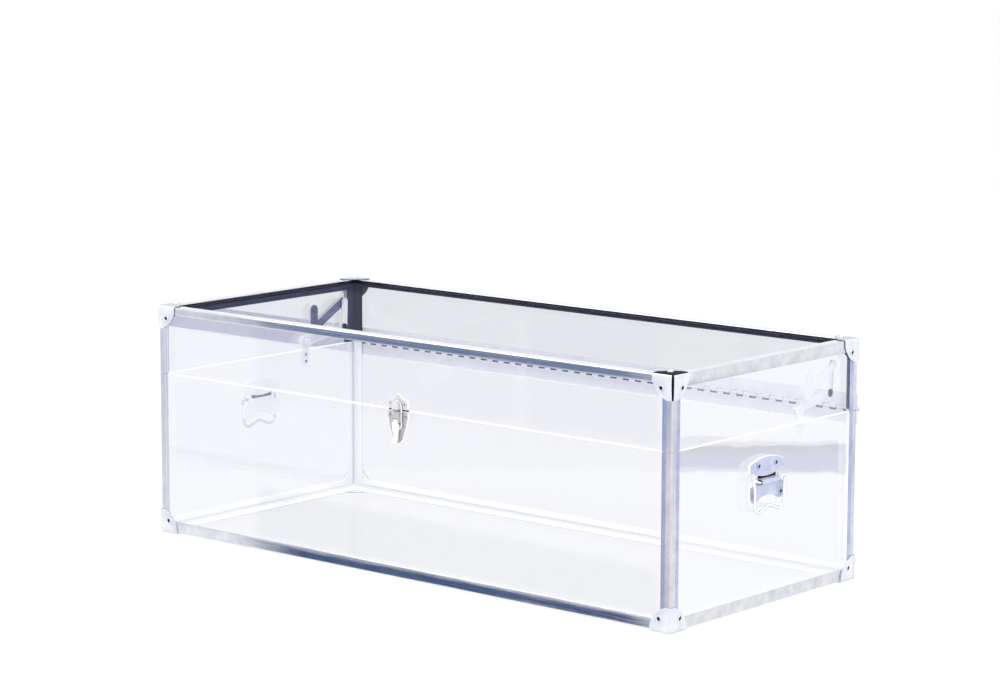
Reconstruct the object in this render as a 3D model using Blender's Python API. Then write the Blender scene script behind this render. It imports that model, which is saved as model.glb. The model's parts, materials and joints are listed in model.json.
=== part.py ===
"""A clear acrylic shoe box built like a small trunk: metal angle on every edge, capped corners, a lid on a
piano hinge with two folding stays, a draw latch in front and a drop handle at each end.

The frame: +X along the front, +Y towards the hinge, +Z up. The origin is at the bottom centre of the whole
object, under its corner caps. Sizes are in metres.
"""

import math

import bmesh
import bpy
from mathutils import Matrix, Vector

# Overall sizes, over the corner caps
LENGTH = 0.700
DEPTH = 0.310
HEIGHT = 0.250
SEAM = 0.1755  # height at which the lid meets the base
SEAM_GAP = 0.0005
GAP = 0.0003  # running clearance between neighbouring pieces

# Acrylic panes and the angle on their edges
PANE = 0.005
SHEET = 0.0012
FLANGE = 0.0125
TOP_FLANGE = 0.0085  # how far down the lid's front and back rails reach
EDGE_RADIUS = 0.0018
EDGE_STEPS = 2
MITRE_GAP = 0.00022

# Corner caps: each lobe ends in an arc about a point beyond the corner
CAP_SHEET = 0.0010
CAP_REACH = 0.0240
CAP_SHOULDER = 0.0060
CAP_ARC_CENTRE = -0.0050
CAP_NAIL = 0.0125
NAIL_RADIUS = 0.0026
NAIL_RISE = 0.0011

# Piano hinge on the outside of the back
LEAF_SHEET = 0.0010
LEAF_REACH = 0.0160
BARREL_RADIUS = 0.0025
HINGE_PIN_RADIUS = 0.0010
KNUCKLES = 83
CURL_STEPS = 4
CURL_TURN = math.radians(290)
HINGE_RIVETS = 8
HINGE_RIVET_INSET = 0.018
HINGE_RIVET_HEIGHT = 0.0093
HINGE_RIVET_RADIUS = 0.0022
HINGE_RIVET_RISE = 0.0009

# Draw latch at the middle of the front, measured out from the pane and up from the seam. An edge is the right
# half of an outline, from bottom to top
LATCH_SHEET = (0.0003, 0.0013)
LATCH_HALF = 0.0135
LATCH_ROOT = 0.0008  # where raised pieces start inside the sheet, and how near both plates come to the seam
LATCH_PIVOT = (0.0040, -0.0108)
LATCH_HOLE = 0.0011
LATCH_PIN = 0.0008
SCREW_RADIUS = 0.0020
SCREW_RISE = 0.0010
KEEPER_EDGE = ((LATCH_HALF, LATCH_ROOT), (LATCH_HALF, 0.0090), (0.0118, 0.0101), (0.0070, 0.0121))
KEEPER_TIP = ((0.0030, 0.0150), (0, 0.0173))
KEEPER_SCREW = (0.0100, 0.0068)
HOOK_STEM_TOP = 0.0054
HOOK_HEAD = (0.0050, 0.0064)
HOOK_HEAD_HALF = 0.0042
HOOK_HEAD_ARCH = 0.0064
PLATE_FOOT = ((0, -0.0346), (0.0036, -0.0332), (0.0066, -0.0295), (0.0090, -0.0240), (0.0110, -0.0180))
PLATE_SIDE = ((0.0126, -0.0120), (LATCH_HALF, -0.0080), (LATCH_HALF, -LATCH_ROOT), (0, -LATCH_ROOT))
PLATE_SCREW = (0.0110, -0.0055)
BRIDGE_HALF = 0.0049
BRIDGE_RISE = 0.0058
BRIDGE_FOOT = -0.0086
EAR_FOOT = -0.0126
EAR_SHEET = 0.0015
EAR_OVERLAP = 0.0006
EAR_STEP = 0.0001
LOOP_PIVOT = (0.0032, -0.0176)
LOOP_HALF = 0.0059
LOOP_ARCH = 0.0036
LOOP_WIRE = 0.0008
LOOP_END = 0.0029
LOOP_CORNER = 0.0006
LEVER_TIP = (0.0086, -0.0342)
LEVER_SHEET = 0.0011
LEVER_HALF = 0.0031
KNUCKLE_RADIUS = 0.0018
CHEEK_SIDE = ((0.0016, -0.0200), (0.0050, -0.0200), (0.0050, -0.0146), (0.0016, -0.0152))
CHEEK_FACES = (0.0030, 0.0040)
LEVER_STATIONS = (  # distance out, height and half width
    (0.0053, -0.0104, LEVER_HALF),
    (0.0053, -0.0129, LEVER_HALF),
    (0.0053, -0.0137, 0.0044),
    (0.0052, -0.0200, 0.0042),
    (0.0045, -0.0270, 0.0027),
    (0.0058, -0.0308, 0.0031),
    (*LEVER_TIP, 0.0028),
)
PIN_REACH = 0.0048  # half length of the lever's pin
PIN_CUT = 0.0060  # half length of the holes cut for the pins

# Drop handle at the middle of each end, measured out from the pane and up from the seam
HANDLE_HALF = 0.0285
HANDLE_SHEET = (0.0003, 0.0015)
HANDLE_ROOT = 0.0009
HANDLE_TOP = -0.0250
HANDLE_SHOULDER = -0.0310
HANDLE_FOOT = ((0, -0.0640), (0.0090, -0.0652), (0.0150, -0.0685))
HANDLE_LOBE = (0.0218, -0.0635)
HANDLE_LOBE_RADIUS = 0.0065
HANDLE_LOBE_SWEEP = (-110, 10)
HANDLE_NOTCH = ((HANDLE_HALF, -0.0600), (HANDLE_HALF, -0.0530), (0.0200, -0.0505), (0.0195, -0.0420))
HANDLE_EAR = ((0.0230, -0.0405), (HANDLE_HALF, -0.0405))
WINDOW_EDGE = ((0.0155, -0.0466), (0.0155, -0.0425), (0.0080, -0.0440))
HANDLE_RIVETS = ((0.0143, -0.0333), (0.0222, -0.0632))
HANDLE_RIVET_RADIUS = 0.0027
HANDLE_RIVET_RISE = 0.0011
STRAP_HALF = 0.0150
STRAP_SHEET = 0.0008
STRAP_FLARE = 0.0004
STRAP_TOP = 0.0012
STRAP_FOOT = 0.0022

# The bail: the right half of its wire, measured from the middle of its bar
BAIL_PIVOT = (0.0046, -0.0490)
BAIL_WIRE = 0.0015
BAIL_SHOULDER = ((0, 0), (0.0165, 0), (0.0205, 0.0014), (0.0238, 0.0026), (0.0255, 0.0016), (0.0256, -0.0010))
BAIL_LEG = ((0.0244, -0.0060), (0.0240, -0.0190), (0.0236, -0.0255))
BAIL_CORNER = (0.0165, -0.0235)
BAIL_CORNER_RADIUS = 0.0065
BAIL_CORNER_SWEEP = (-25, -115)
BAIL_DIP = ((0.0080, -0.0272), (0.0035, -0.0253), (0, -0.0248))

# Lid stays inside each end: pivots measured from the hinge axis along Y and up from the seam
STAY_BASE_PIVOT = (-0.092, 0.010)
STAY_LID_PIVOT = (-0.077, 0.024)
STAY_KNEE = (-0.033, 0.020)
STAY_ELBOW = (-0.032, 0.049)
ARM_HALF = 0.0045
STAY_PLATE = (0.0003, 0.0015)
UPPER_ARM = (0.0020, 0.0034)
LOWER_ARM = (0.0052, 0.0066)
STAY_TAB_HALF = 0.0055
STAY_TAB_FOOT = -0.0130
STAY_TAB_TOP = 0.0440
STAY_BASE_RIVETS = (-0.0055, -0.0130)
STAY_LID_RIVETS = (0.0345, 0.0430)
STAY_RIVET_RADIUS = 0.0024
STAY_ROOT = 0.0009
STAY_HEAD = 0.0010
STAY_PIN = 0.0016
STAY_HOLE = 0.0020
STAY_HEAD_RADIUS = 0.0032

# Worked out from the above
INSET = SHEET + GAP  # from the outside of the angle to the outside of the panes
OUT = CAP_SHEET + GAP  # from the outside of the angle to the outside of a cap
HINGE_REACH = GAP + 2 * BARREL_RADIUS
LATCH_REACH = LEVER_TIP[0] + LEVER_SHEET / 2 - INSET
X1 = LENGTH / 2 - OUT
X0 = -X1
Y0 = -DEPTH / 2 + OUT + (LATCH_REACH - HINGE_REACH) / 2
Y1 = Y0 + DEPTH - 2 * OUT
Z0 = OUT
Z1 = HEIGHT - OUT
RIM = SEAM - SEAM_GAP / 2
LID_RIM = SEAM + SEAM_GAP / 2
HINGE_Y = Y1 + GAP + BARREL_RADIUS
MID_Y = (Y0 + Y1) / 2

METALS = {
    "edging": ((0.78, 0.79, 0.82), 0.28),
    "corner_metal": ((0.83, 0.84, 0.86), 0.18),
    "hinge_metal": ((0.74, 0.75, 0.78), 0.30),
    "latch_metal": ((0.86, 0.86, 0.88), 0.15),
    "handle_metal": ((0.80, 0.81, 0.86), 0.18),
    "stay_metal": ((0.76, 0.77, 0.80), 0.28),
}


def clear_scene():
    for item in list(bpy.data.objects):
        bpy.data.objects.remove(item, do_unlink=True)


def make_materials():
    made = {}
    for name, (colour, roughness) in METALS.items():
        made[name] = bpy.data.materials.new(name)
        made[name].use_nodes = True
        shader = made[name].node_tree.nodes["Principled BSDF"]
        shader.inputs["Base Color"].default_value = (*colour, 1)
        shader.inputs["Metallic"].default_value = 1
        shader.inputs["Roughness"].default_value = roughness
    acrylic = made["acrylic"] = bpy.data.materials.new("acrylic")
    acrylic.use_nodes = True
    shader = acrylic.node_tree.nodes["Principled BSDF"]
    shader.inputs["Base Color"].default_value = (0.95, 0.97, 0.98, 1)
    shader.inputs["Roughness"].default_value = 0.03
    shader.inputs["Transmission Weight"].default_value = 1
    shader.inputs["IOR"].default_value = 1.49
    return made


def axis_empty(name, place, parent=None):
    """An empty on a body's joint axis. The body's pieces are its children."""
    empty = bpy.data.objects.new(name, None)
    bpy.context.scene.collection.objects.link(empty)
    empty["world"] = tuple(place)
    empty.location = Vector(place) - Vector(parent["world"] if parent else (0, 0, 0))
    empty.parent = parent
    return empty


def add_piece(name, mesh, material, body, materials):
    """Makes one piece's object, with its origin on its body's axis, from a mesh in world coordinates."""
    piece = bpy.data.objects.new(name, mesh)
    mesh.name = name
    bpy.context.scene.collection.objects.link(piece)
    mesh.materials.clear()
    mesh.materials.append(materials[material])
    mesh.transform(Matrix.Translation(-Vector(body["world"])))
    mesh.shade_smooth()
    mesh.set_sharp_from_angle(angle=math.radians(35))
    piece.parent = body
    return piece


def finished(bm):
    bmesh.ops.recalc_face_normals(bm, faces=bm.faces)
    mesh = bpy.data.meshes.new("piece")
    bm.to_mesh(mesh)
    bm.free()
    return mesh


def block(low, high):
    """A box between two corners."""
    bm = bmesh.new()
    bmesh.ops.create_cube(bm, size=1)
    for vertex in bm.verts:
        vertex.co = [high[i] if vertex.co[i] > 0 else low[i] for i in range(3)]
    return finished(bm)


def prism(outline, place, near, far):
    """An outline of (u, v) points carried from near to far, where place(u, v, w) gives world coordinates."""
    bm = bmesh.new()
    ends = [[bm.verts.new(place(u, v, w)) for u, v in outline] for w in (near, far)]
    for ring in ends:
        bm.faces.new(ring)
    for i in range(len(outline)):
        j = (i + 1) % len(outline)
        bm.faces.new((ends[0][i], ends[0][j], ends[1][j], ends[1][i]))
    return finished(bm)


def arc(centre, radius, start, end, steps):
    """Points along an arc, its angles in degrees."""
    angles = [math.radians(start + (end - start) * i / steps) for i in range(steps + 1)]
    return [(centre[0] + radius * math.cos(a), centre[1] + radius * math.sin(a)) for a in angles]


def disc(centre, radius, sides=10):
    return arc(centre, radius, 0, 360 * (sides - 1) / sides, sides - 1)


def capsule(start, end, half, steps=5):
    """The outline of a bar with round ends."""
    turn = math.degrees(math.atan2(end[1] - start[1], end[0] - start[0]))
    return arc(end, half, turn - 90, turn + 90, steps) + arc(start, half, turn + 90, turn + 270, steps)


def dome(place, centre, radius, base, rise, sides=8):
    """A rivet or nail head on a surface at w = base, sunk a little into it so that it joins."""
    sunk = base - rise / 2
    bm = bmesh.new()
    rings = []
    for w, size in ((sunk, radius), (base + rise * 0.35, radius), (base + rise, radius * 0.5)):
        rings.append([bm.verts.new(place(u, v, w)) for u, v in disc(centre, size, sides)])
    bm.faces.new(rings[0])
    bm.faces.new(rings[-1])
    for lower, upper in zip(rings, rings[1:]):
        for i in range(sides):
            j = (i + 1) % sides
            bm.faces.new((lower[i], lower[j], upper[j], upper[i]))
    return finished(bm)


def tube(points, radius, closed, sides=8):
    """A round wire through the points, swept square to its path."""
    path = [Vector(p) for p in points]
    count = len(path)
    flat = plane_normal(path)
    rings = []
    bm = bmesh.new()
    for i in range(count):
        before = path[i - 1] if closed or i else path[i]
        after = path[(i + 1) % count] if closed or i < count - 1 else path[i]
        along = (after - before).normalized()
        across = along.cross(flat).normalized()
        stretch = 1
        if closed or 0 < i < count - 1:
            bend = (path[i] - before).normalized().dot((after - path[i]).normalized())
            stretch = 1 / math.sqrt((1 + bend) / 2)
        ring = []
        for k in range(sides):
            angle = 2 * math.pi * (k + 0.5) / sides
            offset = across * (math.cos(angle) * radius * stretch) + flat * (math.sin(angle) * radius)
            ring.append(bm.verts.new(path[i] + offset))
        rings.append(ring)
    pairs = list(zip(rings, rings[1:])) + ([(rings[-1], rings[0])] if closed else [])
    for lower, upper in pairs:
        for k in range(sides):
            j = (k + 1) % sides
            bm.faces.new((lower[k], lower[j], upper[j], upper[k]))
    if not closed:
        bm.faces.new(rings[0])
        bm.faces.new(rings[-1])
    return finished(bm)


def plane_normal(path):
    """The normal of the plane that a flat path lies in."""
    total = Vector((0, 0, 0))
    for first, second in zip(path, path[1:]):
        total += (first - path[0]).cross(second - path[0])
    return total.normalized()


def combine(mesh, others, operation="UNION"):
    """Joins the other meshes to the first, or cuts them from it."""
    target = bpy.data.objects.new("target", mesh)
    bpy.context.scene.collection.objects.link(target)
    for other in others:
        tool = bpy.data.objects.new("tool", other)
        bpy.context.scene.collection.objects.link(tool)
        modifier = target.modifiers.new("join", "BOOLEAN")
        modifier.operation = operation
        modifier.solver = "EXACT"
        modifier.object = tool
        graph = bpy.context.evaluated_depsgraph_get()
        result = bpy.data.meshes.new_from_object(target.evaluated_get(graph))
        target.modifiers.clear()
        target.data = result
        bpy.data.objects.remove(tool, do_unlink=True)
    result = target.data
    bpy.data.objects.remove(target, do_unlink=True)
    return result


def cut(mesh, others):
    return combine(mesh, others, "DIFFERENCE")


# Where the hardware's own coordinates lie in the world


def on_front(u, v, w):
    """u along X from the middle, v up from the seam, w out from the front pane."""
    return (u, Y0 + INSET - w, SEAM + v)


def on_end(side):
    """u along Y from the middle, v up from the seam, w out from an end pane."""
    return lambda u, v, w: (side * (X1 - INSET + w), MID_Y + u, SEAM + v)


def in_end(side):
    """u along Y from the hinge axis, v up from the seam, w inwards from the inside of an end pane."""
    return lambda u, v, w: (side * (X1 - INSET - PANE - w), HINGE_Y + u, SEAM + v)


def along_x(u, v, w):
    """u out from the front pane, v up from the seam, w along X."""
    return (w, Y0 + INSET - u, SEAM + v)


def make_panes(add):
    """Five panes for the base and five for the lid. The floor and the top run over the others' edges."""
    x0, x1, y0, y1 = X0 + INSET, X1 - INSET, Y0 + INSET, Y1 - INSET
    floor, top = Z0 + INSET + PANE, Z1 - INSET - PANE
    add("base_floor_panel", block((x0, y0, Z0 + INSET), (x1, y1, floor)), "acrylic", "base")
    add("lid_top_panel", block((x0, y0, top), (x1, y1, Z1 - INSET)), "acrylic", "lid")
    for body, low, high in (("base", floor + GAP, RIM), ("lid", LID_RIM, top - GAP)):
        add(body + "_front_panel", block((x0, y0, low), (x1, y0 + PANE, high)), "acrylic", body)
        add(body + "_back_panel", block((x0, y1 - PANE, low), (x1, y1, high)), "acrylic", body)
        near, far = y0 + PANE + GAP, y1 - PANE - GAP
        add(body + "_left_panel", block((x0, near, low), (x0 + PANE, far, high)), "acrylic", body)
        add(body + "_right_panel", block((x1 - PANE, near, low), (x1, far, high)), "acrylic", body)


def angle_section(reach):
    """Matching outer and inner points of the angle's section, measured in from its two outer faces. One flange
    is FLANGE wide and the other has the given reach."""
    inner_radius = EDGE_RADIUS - SHEET
    centre = (EDGE_RADIUS, EDGE_RADIUS)
    outer = [(0, reach)] + arc(centre, EDGE_RADIUS, 180, 270, EDGE_STEPS) + [(FLANGE, 0)]
    inner = [(SHEET, reach)] + arc(centre, inner_radius, 180, 270, EDGE_STEPS) + [(FLANGE, SHEET)]
    return outer, inner


def angle_strip(place, start, end, mitre_start, mitre_end, reach=FLANGE):
    """An angle from start to end, where place(a, b, s) gives world coordinates. A mitred end runs back by the
    larger of a and b, so that three strips meet at a corner."""
    bm = bmesh.new()
    rows = []
    for section in angle_section(reach):
        row = []
        for a, b in section:
            back = max(a, b) + MITRE_GAP
            first = start + (back if mitre_start else 0)
            last = end - (back if mitre_end else 0)
            row.append((bm.verts.new(place(a, b, first)), bm.verts.new(place(a, b, last))))
        rows.append(row)
    outer, inner = rows
    for i in range(len(outer) - 1):
        bm.faces.new((outer[i][0], outer[i + 1][0], outer[i + 1][1], outer[i][1]))
        bm.faces.new((inner[i][0], inner[i + 1][0], inner[i + 1][1], inner[i][1]))
        for end_index in (0, 1):
            ring = (outer[i], outer[i + 1], inner[i + 1], inner[i])
            bm.faces.new([pair[end_index] for pair in ring])
    for k in (0, -1):
        bm.faces.new((outer[k][0], inner[k][0], inner[k][1], outer[k][1]))
    return finished(bm)


def make_edging(add):
    """Four corner uprights and four long or short rails for the base, and the same for the lid."""
    sides_x = {"left": (X0, 1), "right": (X1, -1)}
    sides_y = {"front": (Y0, 1), "back": (Y1, -1)}
    rows = (("base", Z0, 1, "bottom", FLANGE), ("lid", Z1, -1, "top", TOP_FLANGE))
    for body, face, up, where, reach in rows:
        for name, (y, inwards) in sides_y.items():
            place = lambda a, b, s, y=y, i=inwards: (s, y + i * a, face + up * b)
            add(f"{body}_{where}_rail_{name}", angle_strip(place, X0, X1, True, True, reach), "edging", body)
        for name, (x, inwards) in sides_x.items():
            place = lambda a, b, s, x=x, i=inwards: (x + i * a, s, face + up * b)
            add(f"{body}_{where}_rail_{name}", angle_strip(place, Y0, Y1, True, True), "edging", body)
        low, high = (Z0, RIM) if body == "base" else (LID_RIM, Z1)
        for name_y, (y, in_y) in sides_y.items():
            for name_x, (x, in_x) in sides_x.items():
                place = lambda a, b, s, x=x, y=y, i=in_x, j=in_y: (x + i * a, y + j * b, s)
                strip = angle_strip(place, low, high, body == "base", body == "lid")
                add(f"{body}_upright_{name_y}_{name_x}", strip, "edging", body)


def lobe_arc():
    """The outer edge of a cap's lobe, between the shoulders that lie CAP_REACH along its two edges."""
    shoulder = (CAP_REACH, CAP_SHOULDER)
    radius = math.hypot(shoulder[0] - CAP_ARC_CENTRE, shoulder[1] - CAP_ARC_CENTRE)
    first = math.degrees(math.atan2(shoulder[1] - CAP_ARC_CENTRE, shoulder[0] - CAP_ARC_CENTRE))
    return arc((CAP_ARC_CENTRE, CAP_ARC_CENTRE), radius, first, 90 - first, 4)


def corner_cap(corner, inwards, nailed):
    """A pressed cap over one corner of the box: three lobes of sheet that share the box's edges."""

    def world(local):
        return [corner[i] + inwards[i] * local[i] for i in range(3)]

    bm = bmesh.new()
    made = {}

    def vertex(local):
        key = tuple(round(c, 7) for c in local)
        if key not in made:
            made[key] = bm.verts.new(world(local))
        return made[key]

    skins = []
    for level in (-OUT, -GAP):
        loops = []
        for axis in range(3):
            first, second = (axis + 1) % 3, (axis + 2) % 3
            loop = []
            for u, v in [(level, level), (CAP_REACH, level), *lobe_arc(), (level, CAP_REACH)]:
                local = [level] * 3
                local[first], local[second] = u, v
                loop.append(vertex(local))
            bm.faces.new(loop)
            loops.append(loop)
        skins.append(loops)
    for outer, inner in zip(*skins):
        for i in range(1, len(outer) - 1):
            bm.faces.new((outer[i], outer[i + 1], inner[i + 1], inner[i]))
    cap = finished(bm)
    heads = []
    for axis in nailed:

        def place(u, v, w, axis=axis):
            local = [-w] * 3
            local[(axis + 1) % 3], local[(axis + 2) % 3] = u, v
            return world(local)

        heads.append(dome(place, (CAP_NAIL, CAP_NAIL), NAIL_RADIUS, OUT, NAIL_RISE))
    return combine(cap, heads)


def make_caps(add):
    """The caps under the base have no nail heads below, so that the box stands on their flat lobes."""
    for body, z, up in (("base", Z0, 1), ("lid", Z1, -1)):
        for name_y, y, in_y in (("front", Y0, 1), ("back", Y1, -1)):
            for name_x, x, in_x in (("left", X0, 1), ("right", X1, -1)):
                nailed = (0, 1) if body == "base" else (0, 1, 2)
                cap = corner_cap((x, y, z), (in_x, in_y, up), nailed)
                add(f"{body}_corner_cap_{name_y}_{name_x}", cap, "corner_metal", body)


def leaf_section(up):
    """(y, z) pairs of the sheet's two faces, from the leaf's root round the pin. up is -1 for the base's."""
    pairs = []
    for i in range(CURL_STEPS + 1):
        angle = CURL_TURN * i / CURL_STEPS
        away = (-math.cos(angle), -math.sin(angle) * up)
        outside = (HINGE_Y + away[0] * BARREL_RADIUS, SEAM + away[1] * BARREL_RADIUS)
        inside_radius = BARREL_RADIUS - LEAF_SHEET
        inside = (HINGE_Y + away[0] * inside_radius, SEAM + away[1] * inside_radius)
        pairs.append((outside, inside))
    return pairs


def hinge_leaf(up, mine):
    """A leaf whose edge rolls round the pin at each of its own knuckles."""
    root = SEAM + up * (BARREL_RADIUS + GAP)
    tip = SEAM + up * LEAF_REACH
    faces_y = (Y1 + GAP, Y1 + GAP + LEAF_SHEET)
    pitch = (X1 - X0) / KNUCKLES
    stops = [X0, X1]
    for k in mine:
        stops.append(X0 + k * pitch + GAP / 2 * (k > 0))
        stops.append(X0 + (k + 1) * pitch - GAP / 2 * (k < KNUCKLES - 1))
    stops = sorted(set(round(x, 7) for x in stops))
    bm = bmesh.new()
    roots = [[bm.verts.new((x, y, root)) for x in stops] for y in faces_y]
    tips = [[bm.verts.new((x, y, tip)) for x in (X0, X1)] for y in faces_y]
    for row, ends in zip(roots, tips):
        bm.faces.new(row + [ends[1], ends[0]])
    bm.faces.new((tips[0][0], tips[0][1], tips[1][1], tips[1][0]))
    for k in (0, -1):
        bm.faces.new((roots[0][k], roots[1][k], tips[1][k], tips[0][k]))
    for i in range(len(stops) - 1):
        middle = (stops[i] + stops[i + 1]) / 2
        if int((middle - X0) / pitch) not in mine:
            bm.faces.new((roots[0][i], roots[0][i + 1], roots[1][i + 1], roots[1][i]))
            continue
        rows = [[(roots[0][i], roots[0][i + 1]), (roots[1][i], roots[1][i + 1])]]
        for pair in leaf_section(up):
            rows.append([[bm.verts.new((x, *point)) for x in stops[i : i + 2]] for point in pair])
        for before, after in zip(rows, rows[1:]):
            for face in (0, 1):
                bm.faces.new((before[face][0], before[face][1], after[face][1], after[face][0]))
            for end in (0, 1):
                bm.faces.new((before[0][end], before[1][end], after[1][end], after[0][end]))
        last = rows[-1]
        bm.faces.new((last[0][0], last[0][1], last[1][1], last[1][0]))
    leaf = finished(bm)
    place = lambda u, v, w: (u, Y1 + GAP + w, SEAM + v)
    spacing = (X1 - X0 - 2 * HINGE_RIVET_INSET) / (HINGE_RIVETS - 1)
    heads = []
    for i in range(HINGE_RIVETS):
        centre = (X0 + HINGE_RIVET_INSET + i * spacing, up * HINGE_RIVET_HEIGHT)
        heads.append(dome(place, centre, HINGE_RIVET_RADIUS, LEAF_SHEET, HINGE_RIVET_RISE, 6))
    return combine(leaf, heads)


def make_hinge(add):
    add("hinge_leaf_lid", hinge_leaf(1, range(1, KNUCKLES, 2)), "hinge_metal", "lid")
    add("hinge_leaf_base", hinge_leaf(-1, range(0, KNUCKLES, 2)), "hinge_metal", "base")
    place = lambda u, v, w: (w, HINGE_Y + u, SEAM + v)
    add("hinge_pin", prism(disc((0, 0), HINGE_PIN_RADIUS), place, X0, X1), "hinge_metal", "base")


def mirrored(edge):
    """A whole outline from the points of its right half, listed from bottom to top."""
    return [*edge] + [(-u, v) for u, v in reversed(edge) if u > 0]


def arch(half, foot, centre, steps=8):
    """An outline with straight sides and a round top."""
    return [(-half, foot), (half, foot)] + arc((0, centre), half, 0, 180, steps)


def block_on(place, low, high):
    """A box between two corners given in a piece's own coordinates."""
    outline = [(low[0], low[1]), (high[0], low[1]), (high[0], high[1]), (low[0], high[1])]
    return prism(outline, place, low[2], high[2])


def screws(centre):
    """The heads of a pair of screws, one to each side of the latch."""
    places = [(side * centre[0], centre[1]) for side in (-1, 1)]
    return [dome(on_front, at, SCREW_RADIUS, LATCH_SHEET[1], SCREW_RISE) for at in places]


def latch_keeper():
    """The lid's half of the latch: a pointed plate with a hook that stands over the loop."""
    plate = prism(mirrored(KEEPER_EDGE + KEEPER_TIP), on_front, *LATCH_SHEET)
    stem_half = LOOP_HALF - LOOP_WIRE - GAP
    stem = prism(arch(stem_half, LATCH_ROOT, LOOP_ARCH), on_front, LATCH_ROOT, HOOK_STEM_TOP)
    head = prism(arch(HOOK_HEAD_HALF, LATCH_ROOT, HOOK_HEAD_ARCH), on_front, *HOOK_HEAD)
    return combine(plate, [stem, head, *screws(KEEPER_SCREW)])


def latch_plate():
    """The base's half: a tapering plate with a raised bridge whose two ears hold the lever's pin."""
    plate = prism(mirrored(PLATE_FOOT + PLATE_SIDE), on_front, *LATCH_SHEET)
    low = (-BRIDGE_HALF, BRIDGE_FOOT, LATCH_ROOT)
    bridge = block_on(on_front, low, (BRIDGE_HALF, -LATCH_ROOT - GAP, BRIDGE_RISE))
    ears = []
    for inner, outer in ((-BRIDGE_HALF, EAR_SHEET - BRIDGE_HALF), (BRIDGE_HALF - EAR_SHEET, BRIDGE_HALF)):
        high = (outer, BRIDGE_FOOT + EAR_OVERLAP, BRIDGE_RISE - EAR_STEP)
        ears.append(block_on(on_front, (inner, EAR_FOOT, LATCH_ROOT + EAR_STEP), high))
    hole = prism(disc(LATCH_PIVOT, LATCH_HOLE), along_x, -PIN_CUT, PIN_CUT)
    return cut(combine(plate, [bridge, *ears, *screws(PLATE_SCREW)]), [hole])


def ribbon(stations, sheet):
    """A strip of sheet bent along (out, up) points, each with its own half width."""
    bm = bmesh.new()
    rings = []
    for i, (out, up, half) in enumerate(stations):
        before, after = stations[max(i - 1, 0)], stations[min(i + 1, len(stations) - 1)]
        along = Vector((after[0] - before[0], after[1] - before[1])).normalized()
        normal = Vector((-along.y, along.x)) * (sheet / 2)
        corners = ((-half, -1), (half, -1), (half, 1), (-half, 1))
        rings.append([bm.verts.new(along_x(out + normal.x * s, up + normal.y * s, x)) for x, s in corners])
    for lower, upper in zip(rings, rings[1:]):
        for k in range(4):
            bm.faces.new((lower[k], lower[(k + 1) % 4], upper[(k + 1) % 4], upper[k]))
    bm.faces.new(rings[0])
    bm.faces.new(rings[-1])
    return finished(bm)


def latch_lever():
    """A finger lever with a knuckle round the pin and two cheeks that carry the loop's ends."""
    face = ribbon(LEVER_STATIONS, LEVER_SHEET)
    knuckle = prism(disc(LATCH_PIVOT, KNUCKLE_RADIUS), along_x, -LEVER_HALF, LEVER_HALF)
    near, far = CHEEK_FACES
    cheeks = [prism(CHEEK_SIDE, along_x, near, far), prism(CHEEK_SIDE, along_x, -far, -near)]
    holes = [prism(disc(at, LATCH_HOLE), along_x, -PIN_CUT, PIN_CUT) for at in (LATCH_PIVOT, LOOP_PIVOT)]
    return cut(combine(face, [knuckle, *cheeks]), holes)


def latch_loop():
    """A wire loop over the hook, with its ends turned in through the lever's cheeks."""
    out, foot = LOOP_PIVOT
    path = [(LOOP_END, foot), (LOOP_HALF - LOOP_CORNER, foot), (LOOP_HALF, foot + LOOP_CORNER)]
    path += arc((0, LOOP_ARCH), LOOP_HALF, 0, 90, 4)
    path += [(-u, v) for u, v in reversed(path[:-1])]
    return tube([on_front(u, v, out) for u, v in path], LOOP_WIRE, False)


def make_latch(add):
    add("latch_keeper", latch_keeper(), "latch_metal", "lid")
    add("latch_plate", latch_plate(), "latch_metal", "base")
    pin = prism(disc(LATCH_PIVOT, LATCH_PIN, 8), along_x, -PIN_REACH, PIN_REACH)
    add("latch_lever_pin", pin, "latch_metal", "base")
    add("latch_lever", latch_lever(), "latch_metal", "latch_lever")
    add("latch_loop", latch_loop(), "latch_metal", "latch_loop")


def handle_plate(side):
    """A pressed plate with an arched top, notches beside the bail's shoulders and a strap over its bar."""
    place = on_end(side)
    rise = HANDLE_TOP - HANDLE_SHOULDER
    radius = (HANDLE_HALF**2 + rise**2) / (2 * rise)
    sweep = math.degrees(math.asin(HANDLE_HALF / radius))
    edge = [*HANDLE_FOOT, *arc(HANDLE_LOBE, HANDLE_LOBE_RADIUS, *HANDLE_LOBE_SWEEP, 4)]
    edge += [*HANDLE_NOTCH, *HANDLE_EAR, *arc((0, HANDLE_TOP - radius), radius, 90 - sweep, 90, 4)]
    outline = edge + [(-u, v) for u, v in reversed(edge[1:-1])]
    plate = prism(outline, place, *HANDLE_SHEET)
    window = prism(mirrored(WINDOW_EDGE), place, -HANDLE_SHEET[1], 2 * HANDLE_SHEET[1])
    heads = []
    for u, v in HANDLE_RIVETS:
        for flip in (-1, 1):
            heads.append(dome(place, (flip * u, v), HANDLE_RIVET_RADIUS, HANDLE_SHEET[1], HANDLE_RIVET_RISE))
    return combine(cut(plate, [window]), [handle_strap(side), *heads])


def handle_strap(side):
    """Sheet bent round the bail's bar, its edges joined to the plate above and below."""
    out, height = BAIL_PIVOT
    room = BAIL_WIRE + GAP
    top = out + room + STRAP_SHEET
    inner = [(HANDLE_ROOT, room + STRAP_FLARE), (out + room, room), (out + room, -room)]
    inner.append((HANDLE_ROOT, -room - STRAP_FLARE))
    outer = [(HANDLE_ROOT, -room - STRAP_FOOT), (top, -room - STRAP_FLARE)]
    outer += [(top, room + STRAP_FLARE), (HANDLE_ROOT, room + STRAP_TOP)]
    lengthwise = lambda u, v, w: on_end(side)(w, height + v, u)
    return prism(inner + outer, lengthwise, -STRAP_HALF, STRAP_HALF)


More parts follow.
